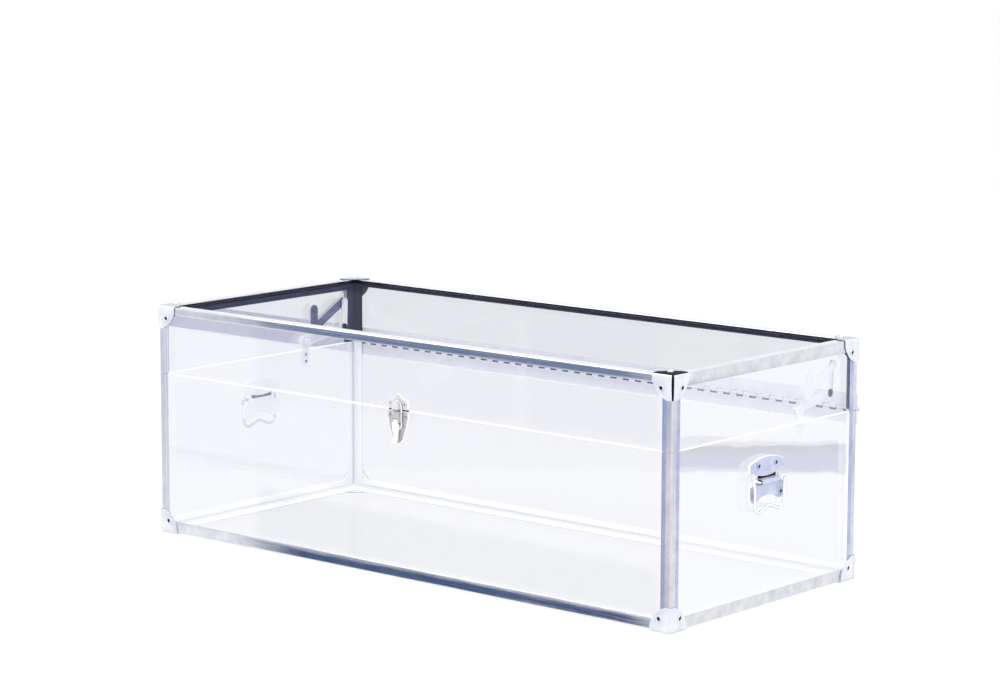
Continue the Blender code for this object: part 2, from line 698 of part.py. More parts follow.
def bail(side):
    """A closed ring of wire: a bar in the strap, raised shoulders, two legs and a grip."""
    out, height = BAIL_PIVOT
    corner = arc(BAIL_CORNER, BAIL_CORNER_RADIUS, *BAIL_CORNER_SWEEP, 4)
    half = [*BAIL_SHOULDER, *BAIL_LEG, *corner, *BAIL_DIP]
    path = half + [(-u, v) for u, v in reversed(half[1:-1])]
    return tube([on_end(side)(u, height + v, out) for u, v in path], BAIL_WIRE, True)


def make_handles(add):
    for name, side in (("left", -1), ("right", 1)):
        add(f"handle_plate_{name}", handle_plate(side), "handle_metal", "base")
        add(f"handle_bail_{name}", bail(side), "handle_metal", f"bail_{name}")


def stay_brackets(place):
    """The two riveted tabs of a stay, each with the pin and head that its arm turns on."""
    post = STAY_BASE_PIVOT[0]
    tab = prism(capsule((post, STAY_TAB_FOOT), STAY_BASE_PIVOT, STAY_TAB_HALF), place, *STAY_PLATE)
    spacer = prism(disc(STAY_BASE_PIVOT, STAY_HEAD_RADIUS), place, STAY_ROOT, LOWER_ARM[0] - GAP)
    pivot = pin_and_head(place, STAY_BASE_PIVOT, LOWER_ARM)
    base = combine(tab, [spacer, *pivot, *stay_rivets(place, post, STAY_BASE_RIVETS)])
    crest = STAY_LID_PIVOT[0]
    tab = prism(capsule(STAY_LID_PIVOT, (crest, STAY_TAB_TOP), STAY_TAB_HALF), place, *STAY_PLATE)
    pivot = pin_and_head(place, STAY_LID_PIVOT, UPPER_ARM)
    lid = combine(tab, [*pivot, *stay_rivets(place, crest, STAY_LID_RIVETS)])
    return base, lid


def pin_and_head(place, pivot, arm):
    """The pin through an arm and the head that keeps the arm on it."""
    seat = arm[1] + GAP
    pin = prism(disc(pivot, STAY_PIN), place, STAY_ROOT, seat + STAY_HEAD / 2)
    return [pin, prism(disc(pivot, STAY_HEAD_RADIUS), place, seat, seat + STAY_HEAD)]


def stay_rivets(place, u, heights):
    return [dome(place, (u, v), STAY_RIVET_RADIUS, STAY_PLATE[1], STAY_HEAD) for v in heights]


def stay_arms(place):
    """The cranked lower arm and the straight upper arm, which carries the elbow's boss."""
    shank = prism(capsule(STAY_BASE_PIVOT, STAY_KNEE, ARM_HALF), place, *LOWER_ARM)
    rise = prism(capsule(STAY_KNEE, STAY_ELBOW, ARM_HALF), place, *LOWER_ARM)
    head = dome(place, STAY_ELBOW, STAY_HEAD_RADIUS, LOWER_ARM[1], STAY_HEAD)
    hole = prism(disc(STAY_BASE_PIVOT, STAY_HOLE), place, LOWER_ARM[0] - STAY_HEAD, LOWER_ARM[1] + STAY_HEAD)
    lower = cut(combine(shank, [rise, head]), [hole])
    bar = prism(capsule(STAY_LID_PIVOT, STAY_ELBOW, ARM_HALF), place, *UPPER_ARM)
    boss = prism(disc(STAY_ELBOW, STAY_HEAD_RADIUS), place, sum(UPPER_ARM) / 2, LOWER_ARM[0] - GAP)
    hole = prism(disc(STAY_LID_PIVOT, STAY_HOLE), place, UPPER_ARM[0] - STAY_HEAD, UPPER_ARM[1] + STAY_HEAD)
    return lower, cut(combine(bar, [boss]), [hole])


def make_stays(add):
    """A folding stay at each end: two riveted brackets and two flat arms that meet at the elbow."""
    for name, side in (("left", -1), ("right", 1)):
        base, lid = stay_brackets(in_end(side))
        lower, upper = stay_arms(in_end(side))
        add(f"stay_bracket_base_{name}", base, "stay_metal", "base")
        add(f"stay_bracket_lid_{name}", lid, "stay_metal", "lid")
        add(f"stay_arm_lower_{name}", lower, "stay_metal", f"stay_lower_{name}")
        add(f"stay_arm_upper_{name}", upper, "stay_metal", f"stay_upper_{name}")


def main():
    clear_scene()
    materials = make_materials()
    bodies = {"base": axis_empty("base_frame", (0, 0, 0))}
    bodies["lid"] = axis_empty("lid_axis", (0, HINGE_Y, SEAM), bodies["base"])
    bodies["latch_lever"] = axis_empty("latch_lever_axis", along_x(*LATCH_PIVOT, 0), bodies["base"])
    bodies["latch_loop"] = axis_empty("latch_loop_axis", along_x(*LOOP_PIVOT, 0), bodies["latch_lever"])
    for name, side in (("left", -1), ("right", 1)):
        out, height = BAIL_PIVOT
        bodies[f"bail_{name}"] = axis_empty(f"bail_axis_{name}", on_end(side)(0, height, out), bodies["base"])
        lower = in_end(side)(*STAY_BASE_PIVOT, 0)
        upper = in_end(side)(*STAY_LID_PIVOT, 0)
        bodies[f"stay_lower_{name}"] = axis_empty(f"stay_lower_axis_{name}", lower, bodies["base"])
        bodies[f"stay_upper_{name}"] = axis_empty(f"stay_upper_axis_{name}", upper, bodies["lid"])

    def add(name, mesh, material, body):
        add_piece(name, mesh, material, bodies[body], materials)

    make_panes(add)
    make_edging(add)
    make_caps(add)
    make_hinge(add)
    make_latch(add)
    make_handles(add)
    make_stays(add)


main()
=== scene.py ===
"""The look of a clear acrylic shoe box with metal edging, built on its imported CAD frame, in metres.

Hardware is drawn in its own coordinates: u across it, v up from the seam and w away from its pane.
"""

import json
import math

import bmesh
import bpy
from mathutils import Matrix, Vector


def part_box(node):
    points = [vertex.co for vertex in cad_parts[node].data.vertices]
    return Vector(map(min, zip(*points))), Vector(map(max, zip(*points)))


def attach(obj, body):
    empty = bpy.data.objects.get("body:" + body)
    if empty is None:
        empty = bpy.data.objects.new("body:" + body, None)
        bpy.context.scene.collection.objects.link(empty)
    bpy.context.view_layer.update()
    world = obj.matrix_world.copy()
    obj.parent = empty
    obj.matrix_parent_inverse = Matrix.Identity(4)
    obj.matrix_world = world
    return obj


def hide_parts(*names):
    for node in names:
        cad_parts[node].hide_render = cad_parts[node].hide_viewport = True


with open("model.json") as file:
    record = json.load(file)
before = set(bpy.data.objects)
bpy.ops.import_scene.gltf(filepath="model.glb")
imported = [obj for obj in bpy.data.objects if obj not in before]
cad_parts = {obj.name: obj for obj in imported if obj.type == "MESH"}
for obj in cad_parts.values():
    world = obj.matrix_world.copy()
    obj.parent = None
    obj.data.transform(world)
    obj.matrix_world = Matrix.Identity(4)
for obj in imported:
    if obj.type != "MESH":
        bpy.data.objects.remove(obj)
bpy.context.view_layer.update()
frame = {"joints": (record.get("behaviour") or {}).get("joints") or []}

# Places taken from the frame
PANE_LOW, PANE_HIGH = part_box("base_front_panel")
FRONT = PANE_LOW.y  # outer face of the front pane
PANE = PANE_HIGH.y - PANE_LOW.y
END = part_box("base_right_panel")[1].x  # outer face of the right pane
SEAM = (PANE_HIGH.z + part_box("lid_front_panel")[0].z) / 2
RIM = PANE_HIGH.z
LID_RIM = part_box("lid_front_panel")[0].z
EDGE_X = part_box("base_bottom_rail_right")[1].x  # outer faces of the metal angle
EDGE_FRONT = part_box("base_bottom_rail_front")[0].y
EDGE_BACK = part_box("base_bottom_rail_back")[1].y
EDGE_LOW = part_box("base_bottom_rail_front")[0].z
EDGE_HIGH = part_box("lid_top_rail_front")[1].z
MIDDLE = (EDGE_FRONT + EDGE_BACK) / 2
HINGE_Y = next(joint["pos_m"][1] for joint in frame["joints"] if joint["name"] == "lid_hinge")

# The camera
AIM = Vector((-0.006, 0.0131, 0.2181))
AZIMUTH = math.radians(40.53)
ELEVATION = math.radians(8.99)
ROLL = math.radians(0.143)
DISTANCE = 3.285
LENS = 112.6
SENSOR = 36.0

# Panes and edging
GAP = 0.0003
CRISP_EDGE, EASED_EDGE, PRESSED_EDGE = 0.0002, 0.0003, 0.00035  # widths of bevels
PANE_BEVEL = 0.0004
SHEET = 0.0012
FLANGE = 0.0125
EDGE_RADIUS = 0.0014
TOP_FLANGE = 0.0085
INNER_HALF = 0.55  # where the inner part of a flange begins
MITRE_GAP = 0.00012

# Corner caps
CAP_SHEET = 0.0010
CAP_OUT = CAP_SHEET + GAP
CAP_REACH = 0.0240 + CAP_OUT
CAP_SHOULDER = 0.0060 + CAP_OUT
CAP_ARC_CENTRE = -0.0050 + CAP_OUT
CAP_NAIL = 0.0125 + CAP_OUT
CAP_ROUND = 0.0026
CAP_CROWN = 0.0004
CROWN_SHAPE = 16  # makes the crown's formula 1 at the middle of a lobe
CAP_GRID = 14
CAP_LIP = 0.0003
NAIL = (0.0031, 0.0011)  # radius and rise of a head

# Piano hinge
LEAF_SHEET = 0.0010
LEAF_REACH = 0.0160
BARREL = 0.0025
PIN = 0.0010
KNUCKLES = 83
HINGE_NOTCH = (0.0011, 0.0027)
HINGE_NOTCH_DEPTH = 0.0002
HINGE_LIP = 0.0012
KNUCKLE_TURN = math.radians(290)
HINGE_RIVETS = 8
HINGE_RIVET_INSET = 0.018
HINGE_RIVET_HEIGHT = 0.0093
HINGE_RIVET = (0.0022, 0.0009)

# Draw latch
LATCH_SHEET = (0.0003, 0.0013)
LATCH_HALF = 0.0135
LATCH_ROOT = 0.0008
LATCH_GAP = 0.0010
LATCH_PIVOT = (0.0040, -0.0108)
LATCH_SCREW = (0.0020, 0.0010)
KEEPER_EDGE = ((LATCH_HALF, LATCH_ROOT), (LATCH_HALF, 0.0090), (0.0118, 0.0101), (0.0070, 0.0121))
KEEPER_TIP = ((0.0030, 0.0150), (0, 0.0173))
KEEPER_SCREW = (0.0100, 0.0068)
HOOK_STEM = (0.0048, 0.0036, 0.0054)  # half width, centre of the arch and top
HOOK_HEAD = (0.0042, 0.0064, 0.0050, 0.0064)  # half width, centre of the arch, underside and top
PLATE_FOOT = ((0, -0.0346), (0.0036, -0.0332), (0.0066, -0.0295), (0.0090, -0.0240), (0.0110, -0.0180))
PLATE_SIDE = ((0.0126, -0.0120), (LATCH_HALF, -0.0080), (LATCH_HALF, -LATCH_ROOT), (0, -LATCH_ROOT))
PLATE_SCREW = (0.0110, -0.0055)
BRIDGE = (0.0049, 0.0058, -0.0086)  # half width, rise and foot
EAR_FOOT = -0.0126
EAR_SHEET = 0.0015
LOOP_PIVOT = (0.0032, -0.0176)
LOOP_HALF = 0.0059
LOOP_ARCH = 0.0036
LOOP_WIRE = 0.0008
LOOP_END = 0.0029
LEVER_SHEET = 0.0011
LEVER_HALF = 0.0031
LEVER_KNUCKLE = 0.0018
LEVER_CHEEK = ((0.0016, -0.0200), (0.0050, -0.0200), (0.0050, -0.0146), (0.0016, -0.0152))
LEVER_CHEEK_FACES = (0.0030, 0.0040)
LEVER_STATIONS = (  # distance out, height and half width
    (0.0053, -0.0104, LEVER_HALF),
    (0.0053, -0.0129, LEVER_HALF),
    (0.0053, -0.0137, 0.0044),
    (0.0052, -0.0200, 0.0042),
    (0.0045, -0.0270, 0.0027),
    (0.0058, -0.0308, 0.0031),
    (0.0086, -0.0342, 0.0028),
)
LEVER_PIN = (0.0008, 0.0048)  # radius and half length

# Drop handles
HANDLE_HALF = 0.0285
HANDLE_SHEET = (0.0003, 0.0015)
HANDLE_ROOT = 0.0009
HANDLE_TOP = -0.0250
HANDLE_SHOULDER = -0.0310
HANDLE_FOOT = ((0, -0.0640), (0.0090, -0.0652), (0.0150, -0.0685))
HANDLE_LOBE = (0.0218, -0.0635)
HANDLE_LOBE_RADIUS = 0.0065
HANDLE_NOTCH = ((HANDLE_HALF, -0.0600), (HANDLE_HALF, -0.0530), (0.0200, -0.0505), (0.0195, -0.0420))
HANDLE_EAR = ((0.0230, -0.0405), (HANDLE_HALF, -0.0405))
WINDOW_EDGE = ((0, -0.0466), (0.0155, -0.0466), (0.0155, -0.0425), (0.0080, -0.0440), (0, -0.0445))
HANDLE_RIVETS = ((0.0143, -0.0333), (0.0222, -0.0632))
HANDLE_RIVET = (0.0027, 0.0011)
# Depth of the dark sheet of painted shade in a handle's window
HANDLE_SHADE_DEPTH = 0.0003
STRAP_HALF = 0.0150
STRAP_SHEET = 0.0008
STRAP_BEND = (0.0014, 0.0010)  # radius of its bends and how far in their centres are
STRAP_FOOT = ((0.0, 0.0022), (0.0012, 0.0018))  # out from its root, and beyond the bail's room
STRAP_HEAD = ((0.0012, 0.0008), (0.0, 0.0012))
BAIL_PIVOT = (0.0046, -0.0490)
BAIL_WIRE = 0.0015
BAIL_SHOULDER = (
    (0, 0), (0.0165, 0), (0.0205, 0.0014), (0.0238, 0.0026), (0.0255, 0.0016), (0.0256, -0.0010),
)
BAIL_LEG = ((0.0244, -0.0060), (0.0240, -0.0190), (0.0236, -0.0255))
BAIL_CORNER = (0.0165, -0.0235)
BAIL_CORNER_RADIUS = 0.0065
BAIL_DIP = ((0.0080, -0.0272), (0.0035, -0.0253), (0, -0.0248))

# Lid stays: points from the hinge axis along Y and up from the seam, layers in from the end pane
STAY_BASE_PIVOT = (-0.092, 0.010)
STAY_LID_PIVOT = (-0.077, 0.024)
STAY_KNEE = (-0.033, 0.020)
STAY_ELBOW = (-0.032, 0.049)
ARM_HALF = 0.0045
STAY_PLATE = (0.0003, 0.0015)
UPPER_ARM = (0.0020, 0.0034)
LOWER_ARM = (0.0052, 0.0066)
STAY_TAB_HALF = 0.0055
STAY_TAB_FOOT = -0.0130
STAY_TAB_TOP = 0.0440
STAY_BASE_RIVETS = (-0.0055, -0.0130)
STAY_LID_RIVETS = (0.0345, 0.0430)
STAY_RIVET = (0.0024, 0.0010)
STAY_PIVOT_HEAD = (0.0032, 0.0010)
STAY_ROOT = 0.0009
STAY_PIN = 0.0016


def make_camera():
    data = bpy.data.cameras.new("camera")
    data.sensor_width = SENSOR
    data.lens = LENS
    camera = bpy.data.objects.new("camera", data)
    bpy.context.scene.collection.objects.link(camera)
    flat = math.cos(ELEVATION)
    away = Vector((math.sin(AZIMUTH) * flat, -math.cos(AZIMUTH) * flat, math.sin(ELEVATION)))
    turn = away.to_track_quat("Z", "Y").to_matrix().to_4x4() @ Matrix.Rotation(ROLL, 4, "Z")
    camera.matrix_world = Matrix.Translation(AIM + away * DISTANCE) @ turn
    bpy.context.scene.camera = camera


# Shader nodes


class Tree:
    """A short way to write nodes: sockets or values go in, and an output socket comes out."""

    def __init__(self, owner):
        owner.use_nodes = True
        self.tree = owner.node_tree
        self.tree.nodes.clear()

    def put(self, node, values):
        for key, value in values.items():
            if isinstance(value, bpy.types.NodeSocket):
                self.tree.links.new(value, node.inputs[key])
            else:
                colour = isinstance(value, tuple) and node.inputs[key].type == "RGBA"
                node.inputs[key].default_value = (*value, 1) if colour else value

    def node(self, kind, values, out=0, **settings):
        made = self.tree.nodes.new("ShaderNode" + kind)
        for key, value in settings.items():
            setattr(made, key, value)
        self.put(made, values)
        return made.outputs[out] if made.outputs else made

    def math(self, operation, *values):
        return self.node("Math", dict(enumerate(values)), operation=operation)

    def spread(self, value, low, high, to_low=0.0, to_high=1.0, kind="LINEAR"):
        """Carries a value from one range to another."""
        ranges = {"Value": value, "From Min": low, "From Max": high, "To Min": to_low, "To Max": to_high}
        return self.node("MapRange", ranges, interpolation_type=kind)

    def mix(self, factor, first, second):
        return self.node("Mix", {0: factor, 6: first, 7: second}, out=2, data_type="RGBA")

    def noise(self, scale, detail=2.0, roughness=0.5):
        """Noise on the piece itself, with scale in features per metre along X, Y and Z."""
        place = self.node("TexCoord", {}, out=3)
        vector = self.node("Mapping", {"Vector": place, "Scale": scale})
        values = {"Vector": vector, "Scale": 1.0, "Detail": detail, "Roughness": roughness}
        return self.node("TexNoise", values)

    def bump(self, height, strength, distance, normal=None):
        values = {"Height": height, "Strength": strength, "Distance": distance}
        if normal:
            values["Normal"] = normal
        return self.node("Bump", values)

    def finish(self, surface):
        self.node("OutputMaterial", {"Surface": surface})


def new_material(name):
    material = bpy.data.materials.new(name)
    return material, Tree(material)


# Materials


def acrylic_face(name, tint, veil, gain=1.0, most=0.12):
    """Clear sheet: tinted, with a trace of haze and a reflection that grows towards grazing angles."""
    material, tree = new_material(name)
    wide = tree.noise((7, 7, 7), 3)
    fine = tree.noise((900, 900, 900), 2)
    clear = tree.node("BsdfTransparent", {"Color": tint})
    haze = tree.node("BsdfDiffuse", {"Color": (0.88, 0.90, 0.96)})
    share = tree.spread(wide, 0.3, 0.7, veil * 0.6, veil * 1.4)
    dusty = tree.node("MixShader", {0: share, 1: clear, 2: haze})
    height = tree.math("ADD", wide, tree.math("MULTIPLY", fine, 0.001))
    normal = tree.bump(height, 0.02, 0.004)
    roughness = tree.spread(fine, 0.35, 0.75, 0.005, 0.03)
    values = {"Color": (0.97, 0.98, 1), "Roughness": roughness, "Normal": normal}
    gloss = tree.node("BsdfAnisotropic", values)
    behind = tree.node("NewGeometry", {}, out=6)
    ior = tree.spread(behind, 0.0, 1.0, ACRYLIC_IOR, 1 / ACRYLIC_IOR)
    grazing = tree.node("Fresnel", {"IOR": ior})
    amount = tree.math("MINIMUM", tree.math("MULTIPLY", grazing, gain), most)
    tree.finish(tree.node("MixShader", {0: amount, 1: dusty, 2: gloss}))
    return material


def acrylic_cut(name):
    """The sawn and polished edge of a pane, which glows white: a painted glow, its emission standing in for
    light.
    """
    material, tree = new_material(name)
    marks = tree.noise((300, 300, 60), 3)
    colour = tree.mix(marks, (0.90, 0.92, 0.98), (1.0, 1.0, 1.0))
    values = {"Base Color": colour, "Emission Color": colour, "Emission Strength": CUT_GLOW}
    tree.finish(tree.node("BsdfPrincipled", {**values, "Roughness": tree.spread(marks, 0, 1, 0.15, 0.4)}))
    return material


def metal(
    name, light, dark, roughness, grain, wave=0.25, hollow=None, metallic=1.0, glow=0.0, shine=0.5,
    contour=None, mirrored=None,
):
    """Plated sheet metal: mottled between light and dark, with drawn grain and dents as deep as wave. It
    carries
    painted light and shade: painted shade in recesses, where a recess colour is given, a painted dark
    contour where it turns away, mirrored as a painted reflection, its colour where other surfaces reflect
    it, and glow as a painted glow."""
    material, tree = new_material(name)
    mottle = tree.noise((60, 60, 60), 4, 0.6)
    lines = tree.noise(grain, 2)
    dents = tree.noise((18, 18, 18), 1)
    colour = tree.mix(tree.spread(mottle, 0.3, 0.75), light, dark)
    # Painted shade: ambient occlusion darkens the colour in recesses.
    if hollow:
        shade = tree.node("AmbientOcclusion", {"Distance": RECESS_SHADE_REACH}, out=1, samples=8, only_local=True)
        colour = tree.mix(tree.spread(shade, 0.15, 0.75, 1.0, 0.0), colour, hollow)
    # Painted shade: a dark edge where the surface turns away.
    if contour:
        turned = tree.node("LayerWeight", {"Blend": 0.5}, out=1)
        colour = tree.mix(tree.spread(turned, 0.5, 0.75), colour, contour)
    # Painted reflection: glossy rays see the mirrored colour instead.
    if mirrored:
        colour = tree.mix(tree.node("LightPath", {}, out=3), colour, mirrored)
    blend = tree.math("ADD", tree.math("MULTIPLY", mottle, 0.5), tree.math("MULTIPLY", lines, 0.5))
    normal = tree.bump(dents, wave, 0.003)
    normal = tree.bump(lines, 0.04, 0.0003, normal)
    values = {
        "Base Color": colour,
        "Metallic": metallic,
        "Roughness": tree.spread(blend, 0.3, 0.7, *roughness),
        "Normal": normal,
        # Painted glow: emission that stands in for light.
        "Emission Color": colour,
        "Emission Strength": glow,
        "Specular IOR Level": shine,
    }
    tree.finish(tree.node("BsdfPrincipled", values))
    return material


ACRYLIC_IOR = 1.49
# Strength of the painted glow on the panes' cut edges.
CUT_GLOW = 0.35
# How far the painted recess shade reaches.
RECESS_SHADE_REACH = 0.004
WHITE = (0.98, 0.98, 0.99)
PALE = (0.82, 0.83, 0.86)
LILAC = (0.68, 0.70, 0.76)
NAVY = (0.035, 0.045, 0.10)
MIDNIGHT = (0.026, 0.031, 0.085)
DUSK = (0.06, 0.07, 0.15)
# Painted black, for painted shade in hollows and a painted dark reflection on a cap.
PAINTED_BLACK = (0.004, 0.004, 0.006)
# Painted shade for the latch's recesses, then its painted dark contour.
CREVICE_SHADE = (0.10, 0.10, 0.105)
DARK_CONTOUR = (0.16, 0.16, 0.20)
STEEL = (0.62, 0.62, 0.63)
GREY = (0.40, 0.41, 0.47)
CLEAR = (0.998, 0.998, 1.0)
FAINT = (0.974, 0.975, 0.980)
TINTED = (0.974, 0.976, 0.982)
SMOKE = (0.908, 0.911, 0.918)
GRAIN_X, GRAIN_Y, GRAIN_Z = (8, 1500, 1500), (1500, 8, 1500), (1500, 1500, 8)
EVEN = (500, 500, 500)

LOOKS = {
    "floor_pane": acrylic_face("acrylic_floor", CLEAR, 0.004, 0.8, 0.05),
    "base_pane": acrylic_face("acrylic_base", FAINT, 0.008, 0.8, 0.05),
    "lid_pane": acrylic_face("acrylic_lid", TINTED, 0.010, 0.8, 0.05),
    "base_end_pane": acrylic_face("acrylic_base_end", FAINT, 0.010, 3.0, 0.18),
    "lid_end_pane": acrylic_face("acrylic_lid_end", TINTED, 0.010, 2.0, 0.10),
    "mirror_pane": acrylic_face("acrylic_lid_left", TINTED, 0.004, 6.0, 0.32),
    "top_pane": acrylic_face("acrylic_top", SMOKE, 0.002, 1.0, 0.02),
    "cut": acrylic_cut("acrylic_cut_edge"),
    # Painted reflection: the dark margins of the lid's panes where the edging lies behind them.
    "glued": metal(
        "acrylic_glued_margin", MIDNIGHT, DUSK, (0.3, 0.5), EVEN, wave=0.1, metallic=0.0, shine=0.05
    ),
    "edge_x": metal("edging_along_x", PALE, LILAC, (0.02, 0.08), GRAIN_X, wave=0.02),
    "edge_y": metal(
        "edging_along_y", (0.78, 0.79, 0.81), (0.62, 0.63, 0.68), (0.03, 0.12), GRAIN_Y, wave=0.05
    ),
    "edge_z": metal(
        "edging_along_z", (0.76, 0.76, 0.78), (0.62, 0.63, 0.67), (0.05, 0.15), GRAIN_Z, wave=0.05
    ),
    # Painted reflection: lilac on the far half of the uprights' flanges, and a paler copy at the front left.
    "edge_lilac": metal(
        "edging_inner_part", (0.60, 0.63, 0.86), (0.40, 0.43, 0.68), (0.1, 0.2), GRAIN_Z, wave=0.05
    ),
    "edge_pale": metal(
        "edging_inner_part_pale", (0.86, 0.87, 0.94), (0.74, 0.76, 0.88), (0.1, 0.2), GRAIN_Z, wave=0.05
    ),
    # Painted light: the base's inner faces glow pale.
    "edge_inside": metal(
        "edging_inside", WHITE, (0.92, 0.93, 0.97), (0.3, 0.5), EVEN, wave=0.1, metallic=0.0, glow=0.42
    ),
    # Painted reflection: the lid's inner faces are painted dark.
    "edge_dark": metal(
        "edging_inside_dark", MIDNIGHT, DUSK, (0.3, 0.5), EVEN, wave=0.25, metallic=0.0, shine=0.05
    ),
    "cap": metal(
        "corner_cap", (0.86, 0.87, 0.91), (0.66, 0.68, 0.76), (0.1, 0.25), EVEN,
        wave=0.3, metallic=0.4, contour=GREY
    ),
    # Painted shade: the cap's lip is painted darker.
    "cap_lip": metal(
        "corner_cap_lip", (0.42, 0.44, 0.55), (0.28, 0.30, 0.42), (0.2, 0.4), EVEN, wave=0.3, metallic=0.5
    ),
    # Painted reflection: the black top of the cap nearest the camera.
    "cap_black": metal(
        "corner_cap_black", PAINTED_BLACK, (0.02, 0.02, 0.03), (0.4, 0.6), EVEN, wave=0.3, metallic=0.0, shine=0.02
    ),
    # Painted shade: black in the dishes of nails and rivets, the slots of screws and the latch's seam.
    "nail_hollow": metal(
        "nail_hollow", PAINTED_BLACK, (0.04, 0.04, 0.07), (0.3, 0.5), EVEN, wave=0.2, metallic=0.0, shine=0.1
    ),
    # Painted light: a glowing lit copy of the hinge's steel, dark blue in reflections as a painted
    # reflection.
    "hinge": metal(
        "hinge_steel", (0.97, 0.97, 1.0), (0.88, 0.88, 0.95), (0.3, 0.5), GRAIN_X,
        wave=0.2, metallic=0.0, glow=0.25, mirrored=(0.0, 0.02, 0.45), shine=0.1
    ),
    "hinge_back": metal(
        "hinge_steel_back", (0.74, 0.75, 0.80), (0.56, 0.58, 0.66), (0.1, 0.3), GRAIN_X,
        wave=0.2, hollow=NAVY, metallic=0.6
    ),
    # Painted shade: dark strips under the lid's knuckles and in the rivets' dishes.
    "hinge_gap": metal(
        "hinge_gap", (0.20, 0.22, 0.38), (0.12, 0.13, 0.26), (0.3, 0.5), EVEN,
        wave=0.2, metallic=0.0, shine=0.1
    ),
    # Painted highlight: the lower leaf's white glowing edge strip.
    "hinge_lip": metal(
        "hinge_worn_edge", WHITE, WHITE, (0.3, 0.5), GRAIN_X, wave=0.1, metallic=0.0, glow=0.4
    ),
    "latch": metal(
        "latch_nickel", (0.80, 0.80, 0.81), STEEL, (0.15, 0.3), EVEN,
        wave=0.2, hollow=CREVICE_SHADE, metallic=0.1, contour=DARK_CONTOUR
    ),
    # Painted shade: a darker copy of the latch's nickel for the back plate under the lever.
    "latch_plate": metal(
        "latch_nickel_dull", STEEL, (0.34, 0.34, 0.35), (0.2, 0.35), EVEN,
        wave=0.2, hollow=CREVICE_SHADE, metallic=0.1
    ),
    "latch_wire": metal(
        "latch_wire", WHITE, (0.9, 0.9, 0.91), (0.1, 0.2), EVEN, wave=0.1, metallic=0.2, contour=DARK_CONTOUR
    ),
    "handle": metal(
        "handle_nickel", (0.66, 0.69, 0.84), (0.40, 0.44, 0.64), (0.15, 0.3), EVEN,
        wave=0.3, hollow=NAVY, metallic=0.4
    ),
    # Painted highlight: a white glowing rim on the handle and latch plates.
    "handle_lip": metal(
        "handle_worn_edge", WHITE, (0.92, 0.93, 0.96), (0.2, 0.4), EVEN, wave=0.1, metallic=0.1, glow=0.2
    ),
    # Painted light: a pale, glowing copy of the handle's nickel, with its own painted recess shade, for
    # faces turned to the pane.
    "handle_pale": metal(
        "handle_nickel_pale", WHITE, (0.93, 0.94, 0.97), (0.2, 0.4), EVEN,
        wave=0.3, hollow=LILAC, metallic=0.0, glow=0.25
    ),
    "bail": metal(
        "bail_wire", WHITE, (0.88, 0.89, 0.93), (0.08, 0.2), EVEN,
        wave=0.1, hollow=NAVY, metallic=0.3, contour=NAVY
    ),
    # Painted light: a faint glow.
    "stay": metal(
        "stay_steel", (0.94, 0.94, 0.97), (0.82, 0.83, 0.9), (0.15, 0.3), EVEN,
        wave=0.2, hollow=(0.25, 0.27, 0.45), metallic=0.3, glow=0.05
    ),
    # Painted shadow: a dark copy of the stay steel for the left stay's upper parts, and painted shade in the
    # rivets' dishes.
    "stay_dark": metal(
        "stay_steel_dark", (0.20, 0.24, 0.38), (0.05, 0.06, 0.15), (0.2, 0.4), EVEN,
        wave=0.2, hollow=NAVY, metallic=0.1
    ),
    # Painted shade: a dark sheet in each handle's window.
    "backing": metal("handle_backing", (0.015, 0.017, 0.03), (0.04, 0.04, 0.06), (0.4, 0.6), EVEN),
}


# Meshes


def finished(bm, merge=1e-6):
    bmesh.ops.remove_doubles(bm, verts=bm.verts, dist=merge)
    bmesh.ops.recalc_face_normals(bm, faces=bm.faces)
    mesh = bpy.data.meshes.new("part")
    bm.to_mesh(mesh)
    bm.free()
    return mesh


def soften(bm, width, segments=2, angle=math.radians(50)):
    """Rounds every edge sharper than the angle."""
    bmesh.ops.remove_doubles(bm, verts=bm.verts, dist=1e-6)
    bmesh.ops.recalc_face_normals(bm, faces=bm.faces)
    sharp = [e for e in bm.edges if len(e.link_faces) == 2 and e.calc_face_angle() > angle]
    bmesh.ops.bevel(
        bm, geom=sharp, offset=width, segments=segments, profile=0.5, affect="EDGES", clamp_overlap=True
    )


def join(parts):
    """One mesh from (mesh, material index) pairs. None keeps the indices that the mesh has."""
    bm = bmesh.new()
    for mesh, index in parts:
        start = len(bm.faces)
        bm.from_mesh(mesh)
        bm.faces.ensure_lookup_table()
        if index is not None:
            for face in bm.faces[start:]:
                face.material_index = index
    joined = bpy.data.meshes.new("joined")
    bm.to_mesh(joined)
    bm.free()
    return joined


def add(name, parts, looks, body, nodes, smooth=40):
    """A piece from (mesh, material index) pairs, which rides on its body and stands for its nodes."""
    mesh = join(parts)
    for look in looks:
        mesh.materials.append(LOOKS[look])
    mesh.shade_smooth()
    mesh.set_sharp_from_angle(angle=math.radians(smooth))
    piece = bpy.data.objects.new(name, mesh)
    bpy.context.scene.collection.objects.link(piece)
    even = piece.modifiers.new("even_normals", "WEIGHTED_NORMAL")
    even.keep_sharp = True
    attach(piece, body)
    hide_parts(*nodes)
    return piece


def arc(centre, radius, start, end, steps):
    """Points along an arc, its angles in degrees."""
    angles = [math.radians(start + (end - start) * i / steps) for i in range(steps + 1)]
    return [(centre[0] + radius * math.cos(a), centre[1] + radius * math.sin(a)) for a in angles]


def disc(centre, radius, sides=24):
    return arc(centre, radius, 0, 360 * (sides - 1) / sides, sides - 1)


def mirrored(edge):
    """A whole outline from the points of its right half, listed from bottom to top."""
    return [*edge] + [(-u, v) for u, v in reversed(edge) if u > 0]


def capsule(start, end, half, steps=12):
    turn = math.degrees(math.atan2(end[1] - start[1], end[0] - start[0]))
    return arc(end, half, turn - 90, turn + 90, steps) + arc(start, half, turn + 90, turn + 270, steps)


def arch(half, foot, centre, steps=16):
    return [(-half, foot), (half, foot)] + arc((0, centre), half, 0, 180, steps)


